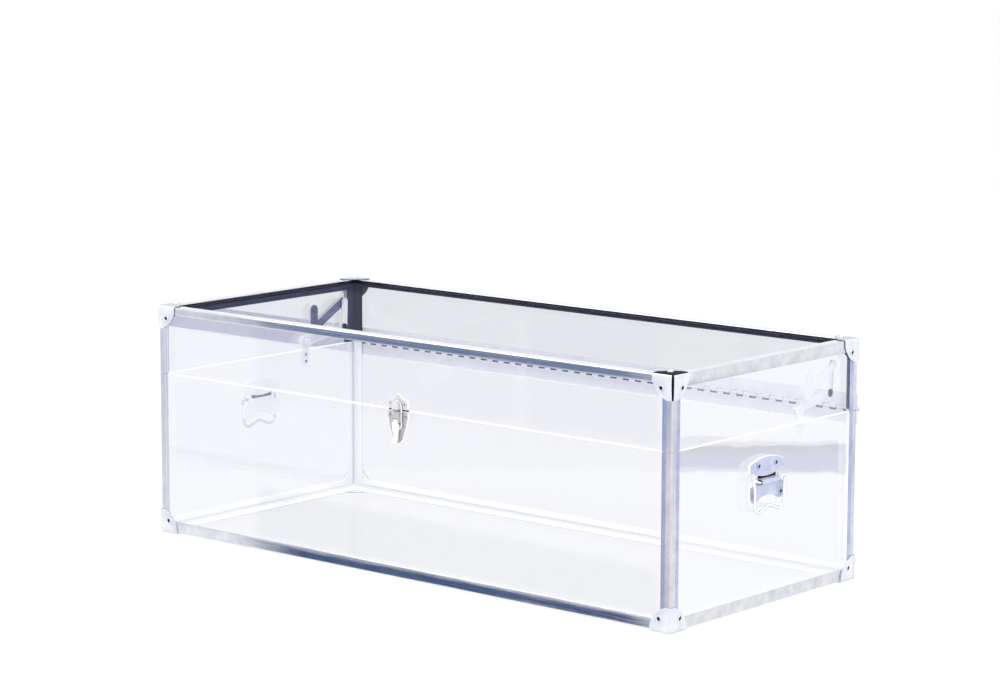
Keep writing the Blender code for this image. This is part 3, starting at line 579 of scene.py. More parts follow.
def prism(outline, place, near, far, soft=0.0):
    """An outline of (u, v) points carried from near to far along w, with its edges rounded by soft."""
    bm = bmesh.new()
    ends = [[bm.verts.new(place(u, v, w)) for u, v in outline] for w in (near, far)]
    for ring in ends:
        bm.faces.new(ring)
    for i in range(len(outline)):
        j = (i + 1) % len(outline)
        bm.faces.new((ends[0][i], ends[0][j], ends[1][j], ends[1][i]))
    if soft:
        soften(bm, soft)
    return finished(bm)


def rounded(outline, radius, steps=4, sharp=20):
    """The outline with each corner sharper than the given angle, in degrees, replaced by an arc."""
    points = []
    count = len(outline)
    for i, corner in enumerate(outline):
        before, here, after = Vector(outline[i - 1]), Vector(corner), Vector(outline[(i + 1) % count])
        inwards, onwards = here - before, after - here
        turn = abs(inwards.angle_signed(onwards, 0))
        if math.degrees(turn) < sharp:
            points.append(corner)
            continue
        reach = min(radius * math.tan(turn / 2), inwards.length * 0.45, onwards.length * 0.45)
        first, last = here - inwards.normalized() * reach, here + onwards.normalized() * reach
        for k in range(steps + 1):
            t = k / steps
            point = first * (1 - t) ** 2 + here * (2 * t * (1 - t)) + last * t**2
            points.append(tuple(point))
    return points


def plate(outlines, place, near, far, soft):
    """Sheet with rounded edges. The first outline is its edge and the others are holes."""
    curve = bpy.data.curves.new("plate", "CURVE")
    curve.dimensions = "2D"
    curve.fill_mode = "BOTH"
    curve.extrude = (far - near) / 2 - soft
    curve.bevel_depth = soft
    curve.bevel_resolution = 2
    curve.offset = -soft
    for outline in outlines:
        spline = curve.splines.new("POLY")
        spline.points.add(len(outline) - 1)
        for point, (u, v) in zip(spline.points, outline):
            point.co = (u, v, 0, 1)
        spline.use_cyclic_u = True
    mesh = curve_mesh(curve)
    middle = (near + far) / 2
    for vertex in mesh.vertices:
        u, v, w = vertex.co
        vertex.co = place(u, v, middle + w)
    bm = bmesh.new()
    bm.from_mesh(mesh)
    return finished(bm)


def lipped(mesh, axis, lip):
    """Gives the faces that are not square to the axis the lip's material: on the plates, a painted highlight
    along the rim.
    """
    for polygon in mesh.polygons:
        polygon.material_index = 0 if abs(polygon.normal[axis]) > 0.98 else lip
    return mesh


def curve_mesh(curve):
    """A curve's evaluated mesh. The curve itself is thrown away."""
    holder = bpy.data.objects.new("holder", curve)
    bpy.context.scene.collection.objects.link(holder)
    graph = bpy.context.evaluated_depsgraph_get()
    mesh = bpy.data.meshes.new_from_object(holder.evaluated_get(graph))
    bpy.data.objects.remove(holder, do_unlink=True)
    return mesh


def wire(points, radius, closed, resolution=5):
    """A round wire that runs smoothly through the points."""
    curve = bpy.data.curves.new("wire", "CURVE")
    curve.dimensions = "3D"
    curve.bevel_depth = radius
    curve.bevel_resolution = 4
    curve.resolution_u = resolution
    curve.use_fill_caps = True
    spline = curve.splines.new("BEZIER")
    spline.bezier_points.add(len(points) - 1)
    for knot, point in zip(spline.bezier_points, points):
        knot.co = point
        knot.handle_left_type = knot.handle_right_type = "AUTO"
    spline.use_cyclic_u = closed
    bm = bmesh.new()
    bm.from_mesh(curve_mesh(curve))
    return finished(bm)


def lathe(place, centre, base, profile, sides=24):
    """A turned head on the surface w = base, from (radius, height) points that run from rim to middle."""
    bm = bmesh.new()
    rings = []
    for radius, height in profile:
        if radius:
            rings.append([bm.verts.new(place(u, v, base + height)) for u, v in disc(centre, radius, sides)])
        else:
            rings.append([bm.verts.new(place(*centre, base + height))])
    bm.faces.new(rings[0])
    for lower, upper in zip(rings, rings[1:]):
        for i in range(sides):
            j = (i + 1) % sides
            if len(upper) == 1:
                bm.faces.new((lower[i], lower[j], upper[0]))
            else:
                bm.faces.new((lower[i], lower[j], upper[j], upper[i]))
    return finished(bm)


def dished_head(place, centre, base, size):
    """A nail or rivet head with a rolled rim and a dished middle, as parts in materials 0 and 1. Material 1,
    the dished middle, is painted dark: painted shade.
    """
    radius, rise = size
    rim = [(radius, -0.3 * rise), (radius, 0.35 * rise), (0.95 * radius, 0.76 * rise), (0.86 * radius, rise)]
    rim += [(0.76 * radius, rise), (0.69 * radius, 0.82 * rise), (0.65 * radius, 0.5 * rise)]
    head = lathe(place, centre, base, rim + [(0.63 * radius, 0.33 * rise), (0, 0.28 * rise)])
    centre_w = base + 0.36 * rise
    dish = [(0.61 * radius, -0.2 * rise), (0.61 * radius, 0), (0, 0.06 * rise)]
    pit = lathe(place, centre, centre_w, dish)
    return [(head, 0), (pit, 1)]


def dome(radius, rise, foot=0.0):
    """The profile of a domed head, for lathe."""
    side = [(radius, foot), (radius, 0.4 * rise)]
    return side + [(0.85 * radius, 0.75 * rise), (0.5 * radius, rise), (0, rise)]


def screw_head(place, centre, base, size, turn):
    """A domed head with a crossed recess, as parts in materials 0 and 1. The recess is painted dark: painted
    shade.
    """
    radius, rise = size
    profile = [(radius, -0.3 * rise), (radius, 0.25 * rise), (0.9 * radius, 0.6 * rise)]
    profile += [(0.68 * radius, 0.86 * rise), (0.4 * radius, 0.97 * rise), (0, rise)]
    parts = [(lathe(place, centre, base, profile), 0)]
    for k in range(2):
        angle = math.radians(turn + 90 * k)
        reach = Vector((math.cos(angle), math.sin(angle))) * radius * 0.55
        start, end = Vector(centre) - reach, Vector(centre) + reach
        slot = prism(capsule(start, end, radius * 0.11, 4), place, base + 0.5 * rise, base + 1.0 * rise)
        parts.append((slot, 1))
    return parts


# Where the hardware's own coordinates lie in the frame


def on_front(u, v, w):
    return (u, FRONT - w, SEAM + v)


def along_x(u, v, w):
    """u out from the front pane, v up from the seam, w along X."""
    return (w, FRONT - u, SEAM + v)


def on_end(side):
    return lambda u, v, w: (side * (END + w), MIDDLE + u, SEAM + v)


def in_end(side):
    return lambda u, v, w: (side * (END - PANE - w), HINGE_Y + u, SEAM + v)


# Pieces


def make_pane(body, name):
    """A pane with softened edges. The top edges of the base's walls, save behind the hinge, carry the cut
    edge's painted glow. The lid's walls are painted dark where the edging holds them along the top and at
    the back left corner: painted reflection, the dark that the edging behind them reflects."""
    node = f"{body}_{name}_panel"
    low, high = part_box(node)
    thin = min(range(3), key=lambda i: high[i] - low[i])
    wall = thin != 2
    glows = body == "base" and wall and name != "back"
    bm = bmesh.new()
    bmesh.ops.create_cube(bm, size=1)
    for vertex in bm.verts:
        vertex.co = [high[i] if vertex.co[i] > 0 else low[i] for i in range(3)]
    soften(bm, PANE_BEVEL)
    margins = []
    if body == "lid" and wall:
        top = TOP_FLANGE if name in ("front", "back") else FLANGE
        margins = [(2, EDGE_HIGH - top, 1)]
        if name == "back":
            margins.append((0, low.x + FLANGE, -1))
        elif name == "left":
            margins.append((1, high.y - FLANGE, 1))
    for axis, at, way in margins:
        geometry = bm.verts[:] + bm.edges[:] + bm.faces[:]
        point, normal = [Vector([value if i == axis else 0 for i in range(3)]) for value in (at, way)]
        bmesh.ops.bisect_plane(bm, geom=geometry, plane_co=point, plane_no=normal)
    bm.normal_update()
    for face in bm.faces:
        # Painted glow on the base walls' top faces, and painted dark reflection in the lid's margins.
        middle = face.calc_center_median()
        glued = any(middle[axis] * way > at * way for axis, at, way in margins)
        face.material_index = 2 if glued else int(glows and face.normal.z > 0.3)
    ends = {"left": f"{body}_end_pane", "right": f"{body}_end_pane"}
    clear = {"top": "top_pane", "floor": "floor_pane", **ends}.get(name, f"{body}_pane")
    if (body, name) == ("lid", "left"):
        clear = "mirror_pane"
    add(f"{body}_{name}_pane", [(finished(bm), None)], [clear, "cut", "glued"], body, [node], 30)


def angle_section(reach):
    """The outline of the metal angle, measured in from its two outer faces, and its count of outer points.
    One flange is FLANGE wide and the other has the given reach."""
    centre = (EDGE_RADIUS, EDGE_RADIUS)
    half = SHEET / 2
    outer = arc((half, reach - half), half, 90, 180, 3) + [(0, FLANGE * INNER_HALF)]
    outer += arc(centre, EDGE_RADIUS, 180, 270, 8) + [(FLANGE * INNER_HALF, 0)]
    outer += arc((FLANGE - half, half), half, -90, 0, 3)
    inner = arc((FLANGE - half, half), half, 30, 90, 2) + arc(centre, EDGE_RADIUS - SHEET, 270, 180, 8)
    inner += arc((half, reach - half), half, 0, 60, 2)
    return outer + inner, len(outer)


def angle_strip(place, start, end, mitre_start, mitre_end, reach=FLANGE):
    """An angle from start to end. A mitred end runs back, so that three strips meet at a corner."""
    section, outside = angle_section(reach)
    bm = bmesh.new()
    rings = []
    for mitred, s, way in ((mitre_start, start, 1), (mitre_end, end, -1)):
        back = lambda a, b: way * (max(a, b) + MITRE_GAP) if mitred else 0
        rings.append([bm.verts.new(place(a, b, s + back(a, b))) for a, b in section])
    for i in range(len(section)):
        j = (i + 1) % len(section)
        face = bm.faces.new((rings[0][i], rings[0][j], rings[1][j], rings[1][i]))
        far = min(max(section[i]), max(section[j])) > FLANGE * INNER_HALF - GAP
        face.material_index = 1 if i >= outside else (2 if far else 0)
    for ring in rings:
        bm.faces.new(ring)
    return finished(bm)


def make_edging():
    """Rails and corner uprights of the base, and the same for the lid. The base's insides are painted pale
    with a painted glow, and the lid's insides are painted dark: painted reflection.
    """
    sides_x = {"left": (-EDGE_X, 1), "right": (EDGE_X, -1)}
    sides_y = {"front": (EDGE_FRONT, 1), "back": (EDGE_BACK, -1)}
    rows = (("base", EDGE_LOW, 1, "bottom", "edge_inside"), ("lid", EDGE_HIGH, -1, "top", "edge_dark"))
    for body, face, up, where, inside in rows:
        for name, (y, i) in sides_y.items():
            place = lambda a, b, s: (s, y + i * a, face + up * b)
            strip = angle_strip(place, -EDGE_X, EDGE_X, True, True, TOP_FLANGE if body == "lid" else FLANGE)
            node = f"{body}_{where}_rail_{name}"
            looks = ["edge_x", inside, "edge_x"]
            add(f"{body}_{where}_edge_{name}", [(strip, None)], looks, body, [node])
        for name, (x, i) in sides_x.items():
            place = lambda a, b, s: (x + i * a, s, face + up * b)
            strip = angle_strip(place, EDGE_FRONT, EDGE_BACK, True, True)
            node = f"{body}_{where}_rail_{name}"
            looks = ["edge_y", inside, "edge_y"]
            add(f"{body}_{where}_edge_{name}", [(strip, None)], looks, body, [node])
        low, high = (EDGE_LOW, RIM) if body == "base" else (LID_RIM, EDGE_HIGH)
        for name_y, (y, j) in sides_y.items():
            for name_x, (x, i) in sides_x.items():
                place = lambda a, b, s: (x + i * a, y + j * b, s)
                strip = angle_strip(place, low, high, body == "base", body == "lid")
                node = f"{body}_upright_{name_y}_{name_x}"
                name = f"{body}_corner_edge_{name_y}_{name_x}"
                # Painted reflection: lilac on the far half of each upright's flanges, paler at the front
                # left corner.
                inner = "edge_pale" if (name_y, name_x) == ("front", "left") else "edge_lilac"
                add(name, [(strip, None)], ["edge_z", inside, inner], body, [node])


def cap_rim(t):
    """A point of a lobe's outer edge, from its shoulder on one side, t = 0, to the other one, t = 1."""
    radius = math.hypot(CAP_REACH - CAP_ARC_CENTRE, CAP_SHOULDER - CAP_ARC_CENTRE)
    first = math.atan2(CAP_SHOULDER - CAP_ARC_CENTRE, CAP_REACH - CAP_ARC_CENTRE)
    straight = CAP_SHOULDER / (CAP_SHOULDER * 2 + radius * (math.pi / 2 - 2 * first))
    if t < straight:
        return Vector((CAP_REACH, CAP_SHOULDER * t / straight))
    if t > 1 - straight:
        return Vector((CAP_SHOULDER * (1 - t) / straight, CAP_REACH))
    angle = first + (math.pi / 2 - 2 * first) * (t - straight) / (1 - 2 * straight)
    return Vector((CAP_ARC_CENTRE + radius * math.cos(angle), CAP_ARC_CENTRE + radius * math.sin(angle)))


def lobe_point(s, t):
    """A point of a lobe's grid by Coons' rule: s = 0 and t = 0 are its folds, s = 1 and t = 1 its rim."""
    right, top = cap_rim(t / 2), cap_rim(1 - s / 2)
    bottom, left = Vector((CAP_REACH * s, 0)), Vector((0, CAP_REACH * t))
    ruled = bottom * (1 - t) + top * t + left * (1 - s) + right * s
    corner = cap_rim(0) * (s * (1 - t)) + cap_rim(1) * ((1 - s) * t) + cap_rim(0.5) * (s * t)
    return ruled - corner


def folded(point, depth):
    """Carries a point of the sharp corner onto its rounded fold, at the given depth in the sheet."""
    centre = Vector([max(c, CAP_ROUND) for c in point])
    away = point - centre
    return centre + away.normalized() * (CAP_ROUND - depth)


def corner_cap(world, flat_axis, painted_dark_top):
    """A pressed cap: three crowned lobes whose shared edges are folded round the box's edges. Its lip is
    duller and painted darker, a painted shade line round its border, and a dark top is painted black with
    its upright fold, a painted dark reflection."""
    bm = bmesh.new()
    for axis in range(3):
        crown = 0 if axis == flat_axis else CAP_CROWN
        skins = []
        for depth in (0, CAP_SHEET):
            grid = []
            for i in range(CAP_GRID + 1):
                row = []
                for j in range(CAP_GRID + 1):
                    s, t = i / CAP_GRID, j / CAP_GRID
                    spot = lobe_point(s, t)
                    local = [0.0] * 3
                    local[(axis + 1) % 3], local[(axis + 2) % 3] = spot
                    local = folded(Vector(local), depth)
                    local[axis] -= crown * CROWN_SHAPE * s * (1 - s) * t * (1 - t)
                    row.append(bm.verts.new(world(local)))
                grid.append(row)
            for i in range(CAP_GRID):
                for j in range(CAP_GRID):
                    face = bm.faces.new((grid[i][j], grid[i + 1][j], grid[i + 1][j + 1], grid[i][j + 1]))
                    # Painted reflection: a dark top and its upright fold are painted black.
                    fold = (axis == 0 and i == 0) or (axis == 1 and j == 0)
                    outside = 3 if painted_dark_top and (axis == 2 or fold) else 0
                    face.material_index = 4 if depth else outside
            skins.append([grid[-1][j] for j in range(CAP_GRID + 1)] + [row[-1] for row in grid[-2::-1]])
        outer, inner = skins
        for i in range(len(outer) - 1):
            bm.faces.new((outer[i], outer[i + 1], inner[i + 1], inner[i])).material_index = 2
    soften(bm, CAP_LIP)
    return finished(bm)


def make_caps():
    for body, z, up in (("base", EDGE_LOW - CAP_OUT, 1), ("lid", EDGE_HIGH + CAP_OUT, -1)):
        for name_y, y, in_y in (("front", EDGE_FRONT - CAP_OUT, 1), ("back", EDGE_BACK + CAP_OUT, -1)):
            for name_x, x, in_x in (("left", -EDGE_X - CAP_OUT, 1), ("right", EDGE_X + CAP_OUT, -1)):
                world = lambda p: (x + in_x * p[0], y + in_y * p[1], z + up * p[2])
                # Only the cap nearest the camera gets the painted black reflection.
                near = (body, name_y, name_x) == ("lid", "front", "right")
                parts = [(corner_cap(world, 2, near), None)]
                for axis in (0, 1) if body == "base" else (0, 1, 2):

                    def place(u, v, w):
                        local = [-w] * 3
                        local[(axis + 1) % 3], local[(axis + 2) % 3] = u, v
                        return world(local)

                    parts += dished_head(place, (CAP_NAIL, CAP_NAIL), CAP_CROWN * 0.6, NAIL)
                name = f"corner_cap_{name_y}_{name_x}"
                inside = "edge_inside" if body == "base" else "edge_dark"
                looks = ["cap", "nail_hollow", "cap_lip", "cap_black", inside]
                add(f"{body}_pressed_{name}", parts, looks, body, [f"{body}_{name}"])


def hinge_leaf(up, mine):
    """A leaf of the piano hinge, with its own knuckles rolled round the pin."""
    near = HINGE_Y - BARREL
    place = lambda u, v, w: (u, near + w, SEAM + v)
    root = up * (BARREL + GAP)
    outline = [(-EDGE_X, root), (EDGE_X, root), (EDGE_X, up * LEAF_REACH), (-EDGE_X, up * LEAF_REACH)]
    parts = [(prism(outline, place, 0, LEAF_SHEET, CRISP_EDGE), 0)]
    lip = [(-EDGE_X, up * LEAF_REACH), (EDGE_X, up * LEAF_REACH)]
    lip += [(EDGE_X, up * (LEAF_REACH - HINGE_LIP)), (-EDGE_X, up * (LEAF_REACH - HINGE_LIP))]
    pitch = 2 * EDGE_X / KNUCKLES
    if up < 0:
        # Painted highlight: a white glowing strip along the leaf's edge.
        parts.append((prism(lip, place, -GAP / 3, LEAF_SHEET / 2), 2))
        # Painted shade: dark notches below the lid's knuckles.
        high, low = HINGE_NOTCH
        for k in range(1, KNUCKLES, 2):
            start, end = k * pitch - EDGE_X + GAP / 2, (k + 1) * pitch - EDGE_X - GAP / 2
            notch = [(start, -high), (end, -high), (end, -low), (start, -low)]
            parts.append((prism(notch, place, -GAP / 3, HINGE_NOTCH_DEPTH), 1))
    turns = [KNUCKLE_TURN * i / 20 for i in range(21)]
    curl = []
    for radius, order in ((BARREL, turns), (BARREL - LEAF_SHEET, turns[::-1])):
        curl += [(HINGE_Y - radius * math.cos(a), SEAM - radius * math.sin(a) * up) for a in order]
    curl += [(near + LEAF_SHEET, SEAM + root * 1.2), (near, SEAM + root * 1.2)]
    across = lambda u, v, w: (w, u, v)
    for k in mine:
        start = -EDGE_X + k * pitch + GAP / 2 * (k > 0)
        end = -EDGE_X + (k + 1) * pitch - GAP / 2 * (k < KNUCKLES - 1)
        parts.append((prism(curl, across, start, end, 0.00015), 0))
    spacing = 2 * (EDGE_X - HINGE_RIVET_INSET) / (HINGE_RIVETS - 1)
    for i in range(HINGE_RIVETS):
        centre = (-EDGE_X + HINGE_RIVET_INSET + i * spacing, up * HINGE_RIVET_HEIGHT)
        parts += dished_head(place, centre, LEAF_SHEET, HINGE_RIVET)
    return parts


def facing(parts, axis, way, index):
    """Gives the faces of material 0 that point along the axis, the way given, another material."""
    for mesh, material in parts:
        for polygon in mesh.polygons:
            if material is not None:
                polygon.material_index = material
            if polygon.material_index == 0 and polygon.normal[axis] * way > 0.5:
                polygon.material_index = index
    return [(mesh, None) for mesh, material in parts]


def make_hinge():
    """The hinge is painted lighter, with a painted glow, on the side that is seen through the back pane, and
    is dark blue where other surfaces reflect it: painted light and painted reflection.
    """
    looks = ["hinge_back", "hinge_gap", "hinge_lip", "hinge"]
    lid, base = range(1, KNUCKLES, 2), range(0, KNUCKLES, 2)
    leaf = facing(hinge_leaf(1, lid), 1, -1, 3)
    add("hinge_upper_leaf", leaf, looks, "lid", ["hinge_leaf_lid"])
    leaf = facing(hinge_leaf(-1, base), 1, -1, 3)
    add("hinge_lower_leaf", leaf, looks, "base", ["hinge_leaf_base"])
    place = lambda u, v, w: (w, HINGE_Y + u, SEAM + v)
    pin = prism(disc((0, 0), PIN, 16), place, -EDGE_X, EDGE_X, CRISP_EDGE)
    add("hinge_rod", [(pin, 0)], ["hinge_back"], "base", ["hinge_pin"])


def make_latch_keeper():
    outline = rounded(mirrored(KEEPER_EDGE + KEEPER_TIP), 0.0015)
    parts = [(lipped(plate([outline], on_front, *LATCH_SHEET, PRESSED_EDGE), 1, 2), None)]
    half, centre, top = HOOK_STEM
    parts.append((prism(arch(half, LATCH_ROOT, centre), on_front, LATCH_ROOT, top, EASED_EDGE), 0))
    half, centre, low, top = HOOK_HEAD
    parts.append((prism(arch(half, LATCH_ROOT, centre), on_front, low, top, 0.0005), 0))
    for side in (-1, 1):
        centre = (side * KEEPER_SCREW[0], KEEPER_SCREW[1])
        parts += screw_head(on_front, centre, LATCH_SHEET[1], LATCH_SCREW, 20 * side)
    looks = ["latch", "nail_hollow", "handle_lip"]
    add("latch_catch", parts, looks, "lid", ["latch_keeper"])


def make_latch_plate():
    outline = rounded(mirrored(PLATE_FOOT + PLATE_SIDE), 0.0015)
    parts = [(lipped(plate([outline], on_front, *LATCH_SHEET, PRESSED_EDGE), 1, 2), None)]
    half, rise, foot = BRIDGE
    bridge = [(-half, foot), (half, foot), (half, -LATCH_ROOT - GAP), (-half, -LATCH_ROOT - GAP)]
    parts.append((prism(bridge, on_front, LATCH_ROOT, rise, 0.0004), 0))
    for side in (-1, 1):
        near, far = side * (half - EAR_SHEET), side * half
        ear = [(near, EAR_FOOT), (far, EAR_FOOT), (far, foot + 0.0006), (near, foot + 0.0006)]
        parts.append((prism(ear, on_front, LATCH_ROOT, rise - 0.0001, EASED_EDGE), 0))
        centre = (side * PLATE_SCREW[0], PLATE_SCREW[1])
        parts += screw_head(on_front, centre, LATCH_SHEET[1], LATCH_SCREW, 50 + 25 * side)
    # Painted shade: a dark strip laid in the seam between the catch and the plate.
    gap = [(-LATCH_HALF, -LATCH_GAP), (LATCH_HALF, -LATCH_GAP)]
    gap += [(LATCH_HALF, LATCH_GAP), (-LATCH_HALF, LATCH_GAP)]
    parts.append((prism(gap, on_front, LATCH_SHEET[0] / 4, LATCH_SHEET[0]), 1))
    looks = ["latch_plate", "nail_hollow", "handle_lip"]
    add("latch_back_plate", parts, looks, "base", ["latch_plate"])
    radius, half = LEVER_PIN
    pin = prism(disc(LATCH_PIVOT, radius, 16), along_x, -half, half, CRISP_EDGE)
    add("latch_pivot_pin", [(pin, 0)], ["latch"], "base", ["latch_lever_pin"])


def smooth_stations(stations, steps=6):
    """More stations on a smooth line through the given ones (Catmull and Rom's curve)."""
    points = [Vector(station) for station in stations]
    made = []
    for i in range(len(points) - 1):
        a, b, c = points[max(i - 1, 0)], points[i], points[i + 1]
        d = points[min(i + 2, len(points) - 1)]
        for k in range(steps):
            t = k / steps
            square = (a - b * 2.5 + c * 2 - d / 2) * t**2
            cube = ((b - c) * 1.5 + (d - a) / 2) * t**3
            made.append(b + (c - a) * (t / 2) + square + cube)
    return made + [points[-1]]


def ribbon(stations, sheet, soft):
    """A strip of sheet bent along (out, up) points, each with its own half width."""
    bm = bmesh.new()
    rings = []
    for i, (out, up, half) in enumerate(stations):
        before, after = stations[max(i - 1, 0)], stations[min(i + 1, len(stations) - 1)]
        along = Vector((after[0] - before[0], after[1] - before[1])).normalized()
        normal = Vector((-along.y, along.x)) * (sheet / 2)
        corners = ((-half, -1), (half, -1), (half, 1), (-half, 1))
        rings.append([bm.verts.new(along_x(out + normal.x * s, up + normal.y * s, x)) for x, s in corners])
    for lower, upper in zip(rings, rings[1:]):
        for k in range(4):
            bm.faces.new((lower[k], lower[(k + 1) % 4], upper[(k + 1) % 4], upper[k]))
    bm.faces.new(rings[0])
    bm.faces.new(rings[-1])
    soften(bm, soft)
    return finished(bm)


def make_latch_lever():
    parts = [(ribbon(smooth_stations(LEVER_STATIONS), LEVER_SHEET, PRESSED_EDGE), 0)]
    parts.append((prism(disc(LATCH_PIVOT, LEVER_KNUCKLE), along_x, -LEVER_HALF, LEVER_HALF, EASED_EDGE), 0))
    near, far = LEVER_CHEEK_FACES
    for faces in ((near, far), (-far, -near)):
        parts.append((prism(LEVER_CHEEK, along_x, *faces, CRISP_EDGE), 0))
    add("latch_finger_lever", parts, ["latch_wire"], "latch_lever", ["latch_lever"])


def make_latch_loop():
    out, foot = LOOP_PIVOT
    path = [(LOOP_END, foot), (LOOP_HALF - 0.0008, foot), (LOOP_HALF, foot + 0.0008), (LOOP_HALF, foot / 2)]
    path += arc((0, LOOP_ARCH), LOOP_HALF, 0, 90, 4)
    path += [(-u, v) for u, v in reversed(path[:-1])]
    loop = wire([on_front(u, v, out) for u, v in path], LOOP_WIRE, False)
    add("latch_wire_loop", [(loop, 0)], ["latch_wire"], "latch_loop", ["latch_loop"])


def handle_outline():
    """A plate with an arched top, notches beside the bail's shoulders and two lobes at its foot."""
    rise = HANDLE_TOP - HANDLE_SHOULDER
    radius = (HANDLE_HALF**2 + rise**2) / (2 * rise)
    sweep = math.degrees(math.asin(HANDLE_HALF / radius))
    edge = [*HANDLE_FOOT, *arc(HANDLE_LOBE, HANDLE_LOBE_RADIUS, -110, 10, 12), *HANDLE_NOTCH, *HANDLE_EAR]
    edge += arc((0, HANDLE_TOP - radius), radius, 90 - sweep, 90, 14)
    return rounded(edge + [(-u, v) for u, v in reversed(edge[1:-1])], 0.0012)


def handle_strap(side):
    """Sheet bent round the bail's bar."""
    out, height = BAIL_PIVOT
    room = BAIL_WIRE + GAP
    top = out + room + STRAP_SHEET
    outer = [(HANDLE_ROOT + w, -room - v) for w, v in STRAP_FOOT]
    bend, inset = STRAP_BEND
    outer += arc((top - bend, -room + inset), bend, -90, 0, 5)
    outer += arc((top - bend, room - inset), bend, 0, 90, 5)
    outer += [(HANDLE_ROOT + w, room + v) for w, v in STRAP_HEAD]
    inner = [(HANDLE_ROOT, room + 0.0004), (out + room, room)]
    inner += [(out + room, -room), (HANDLE_ROOT, -room - 0.0004)]
    lengthwise = lambda u, v, w: on_end(side)(w, height + v, u)
    return prism(outer + inner, lengthwise, -STRAP_HALF, STRAP_HALF, EASED_EDGE)


def make_handle(name, side):
    place = on_end(side)
    window = mirrored(WINDOW_EDGE)
    sheet = plate([handle_outline(), rounded(window, 0.0008)], place, *HANDLE_SHEET, PRESSED_EDGE)
    parts = [(lipped(sheet, 0, 2), None), (handle_strap(side), 0)]
    # Painted shade: a dark sheet in the window stands for the shade behind the plate.
    parts.append((prism(window, place, HANDLE_SHEET[0], HANDLE_SHEET[0] + HANDLE_SHADE_DEPTH), 3))
    for u, v in HANDLE_RIVETS:
        for flip in (-1, 1):
            parts += dished_head(place, (flip * u, v), HANDLE_SHEET[1], HANDLE_RIVET)
    looks = ["handle", "nail_hollow", "handle_lip", "backing", "handle_pale"]
    # Painted light: faces turned to the pane take the pale glowing copy.
    parts = facing(parts, 0, -side, 4)
    add(f"handle_mount_{name}", parts, looks, "base", [f"handle_plate_{name}"])
    corner = arc(BAIL_CORNER, BAIL_CORNER_RADIUS, -25, -115, 4)
    half = [*BAIL_SHOULDER, *BAIL_LEG, *corner, *BAIL_DIP]
    path = half + [(-u, v) for u, v in reversed(half[1:-1])]
    out, height = BAIL_PIVOT
    ring = wire([place(u, height + v, out) for u, v in path], BAIL_WIRE, True)
    node = f"handle_bail_{name}"
    add(f"handle_drop_{name}", [(ring, 0)], ["bail"], f"bail_{name}", [node])


def pivot_stack(place, pivot, arm):
    """The pin through an arm, and its domed head."""
    seat = arm[1] + GAP
    radius, rise = STAY_PIVOT_HEAD
    pin = prism(disc(pivot, STAY_PIN, 16), place, STAY_ROOT, seat + rise / 2)
    return [(pin, 0), (lathe(place, pivot, seat, dome(radius, rise)), 0)]


def stay_tab(place, low, high, rivets, crest):
    """A bracket's plate between two points, with rivets on the line u = crest."""
    parts = [(plate([capsule(low, high, STAY_TAB_HALF)], place, *STAY_PLATE, EASED_EDGE), 0)]
    for v in rivets:
        parts += dished_head(place, (crest, v), STAY_PLATE[1], STAY_RIVET)
    return parts


def make_stay(name, side):
    place = in_end(side)
    looks = ["stay", "stay_dark"]
    # Painted shadow: the left stay's lid bracket and short arm take the dark copy of the steel.
    crest_looks = looks if side > 0 else ["stay_dark", "stay_dark"]
    post, crest = STAY_BASE_PIVOT[0], STAY_LID_PIVOT[0]
    head, rise = STAY_PIVOT_HEAD
    parts = stay_tab(place, (post, STAY_TAB_FOOT), STAY_BASE_PIVOT, STAY_BASE_RIVETS, post)
    parts.append((prism(disc(STAY_BASE_PIVOT, head), place, STAY_ROOT, LOWER_ARM[0] - GAP, CRISP_EDGE), 0))
    parts += pivot_stack(place, STAY_BASE_PIVOT, LOWER_ARM)
    add(f"stay_foot_{name}", parts, looks, "base", [f"stay_bracket_base_{name}"])
    parts = stay_tab(place, STAY_LID_PIVOT, (crest, STAY_TAB_TOP), STAY_LID_RIVETS, crest)
    parts += pivot_stack(place, STAY_LID_PIVOT, UPPER_ARM)
    add(f"stay_crest_{name}", parts, crest_looks, "lid", [f"stay_bracket_lid_{name}"])
    hole = disc(STAY_BASE_PIVOT, STAY_PIN + GAP)
    shank = plate([capsule(STAY_BASE_PIVOT, STAY_KNEE, ARM_HALF), hole], place, *LOWER_ARM, EASED_EDGE)
    rising = plate([capsule(STAY_KNEE, STAY_ELBOW, ARM_HALF)], place, *LOWER_ARM, EASED_EDGE)
    knob = lathe(place, STAY_ELBOW, LOWER_ARM[1], dome(head, rise, -0.3 * rise))
    parts = [(shank, 0), (rising, 0), (knob, 0)]
    node = f"stay_arm_lower_{name}"
    add(f"stay_long_arm_{name}", parts, looks, f"stay_lower_{name}", [node])
    hole = disc(STAY_LID_PIVOT, STAY_PIN + GAP)
    bar = plate([capsule(STAY_LID_PIVOT, STAY_ELBOW, ARM_HALF), hole], place, *UPPER_ARM, EASED_EDGE)
    boss = prism(disc(STAY_ELBOW, head), place, sum(UPPER_ARM) / 2, LOWER_ARM[0] - GAP, CRISP_EDGE)
    parts = [(bar, 0), (boss, 0)]
    node = f"stay_arm_upper_{name}"
    add(f"stay_short_arm_{name}", parts, crest_looks, f"stay_upper_{name}", [node])


# Studio

FLOOR_HALF = 12.0
FLOOR_GLOW = 1.02
FLOOR_SHADE = 0.12  # how much of the floor's brightness can be shaded
ROOM = (1.05, 1.055, 1.075)
LAMPS = (  # name, place, diameter and watts
    ("key", (-1.6, -1.4, 3.0), 2.4, 45),
    ("fill", (2.4, -0.4, 2.6), 2.0, 30),
)
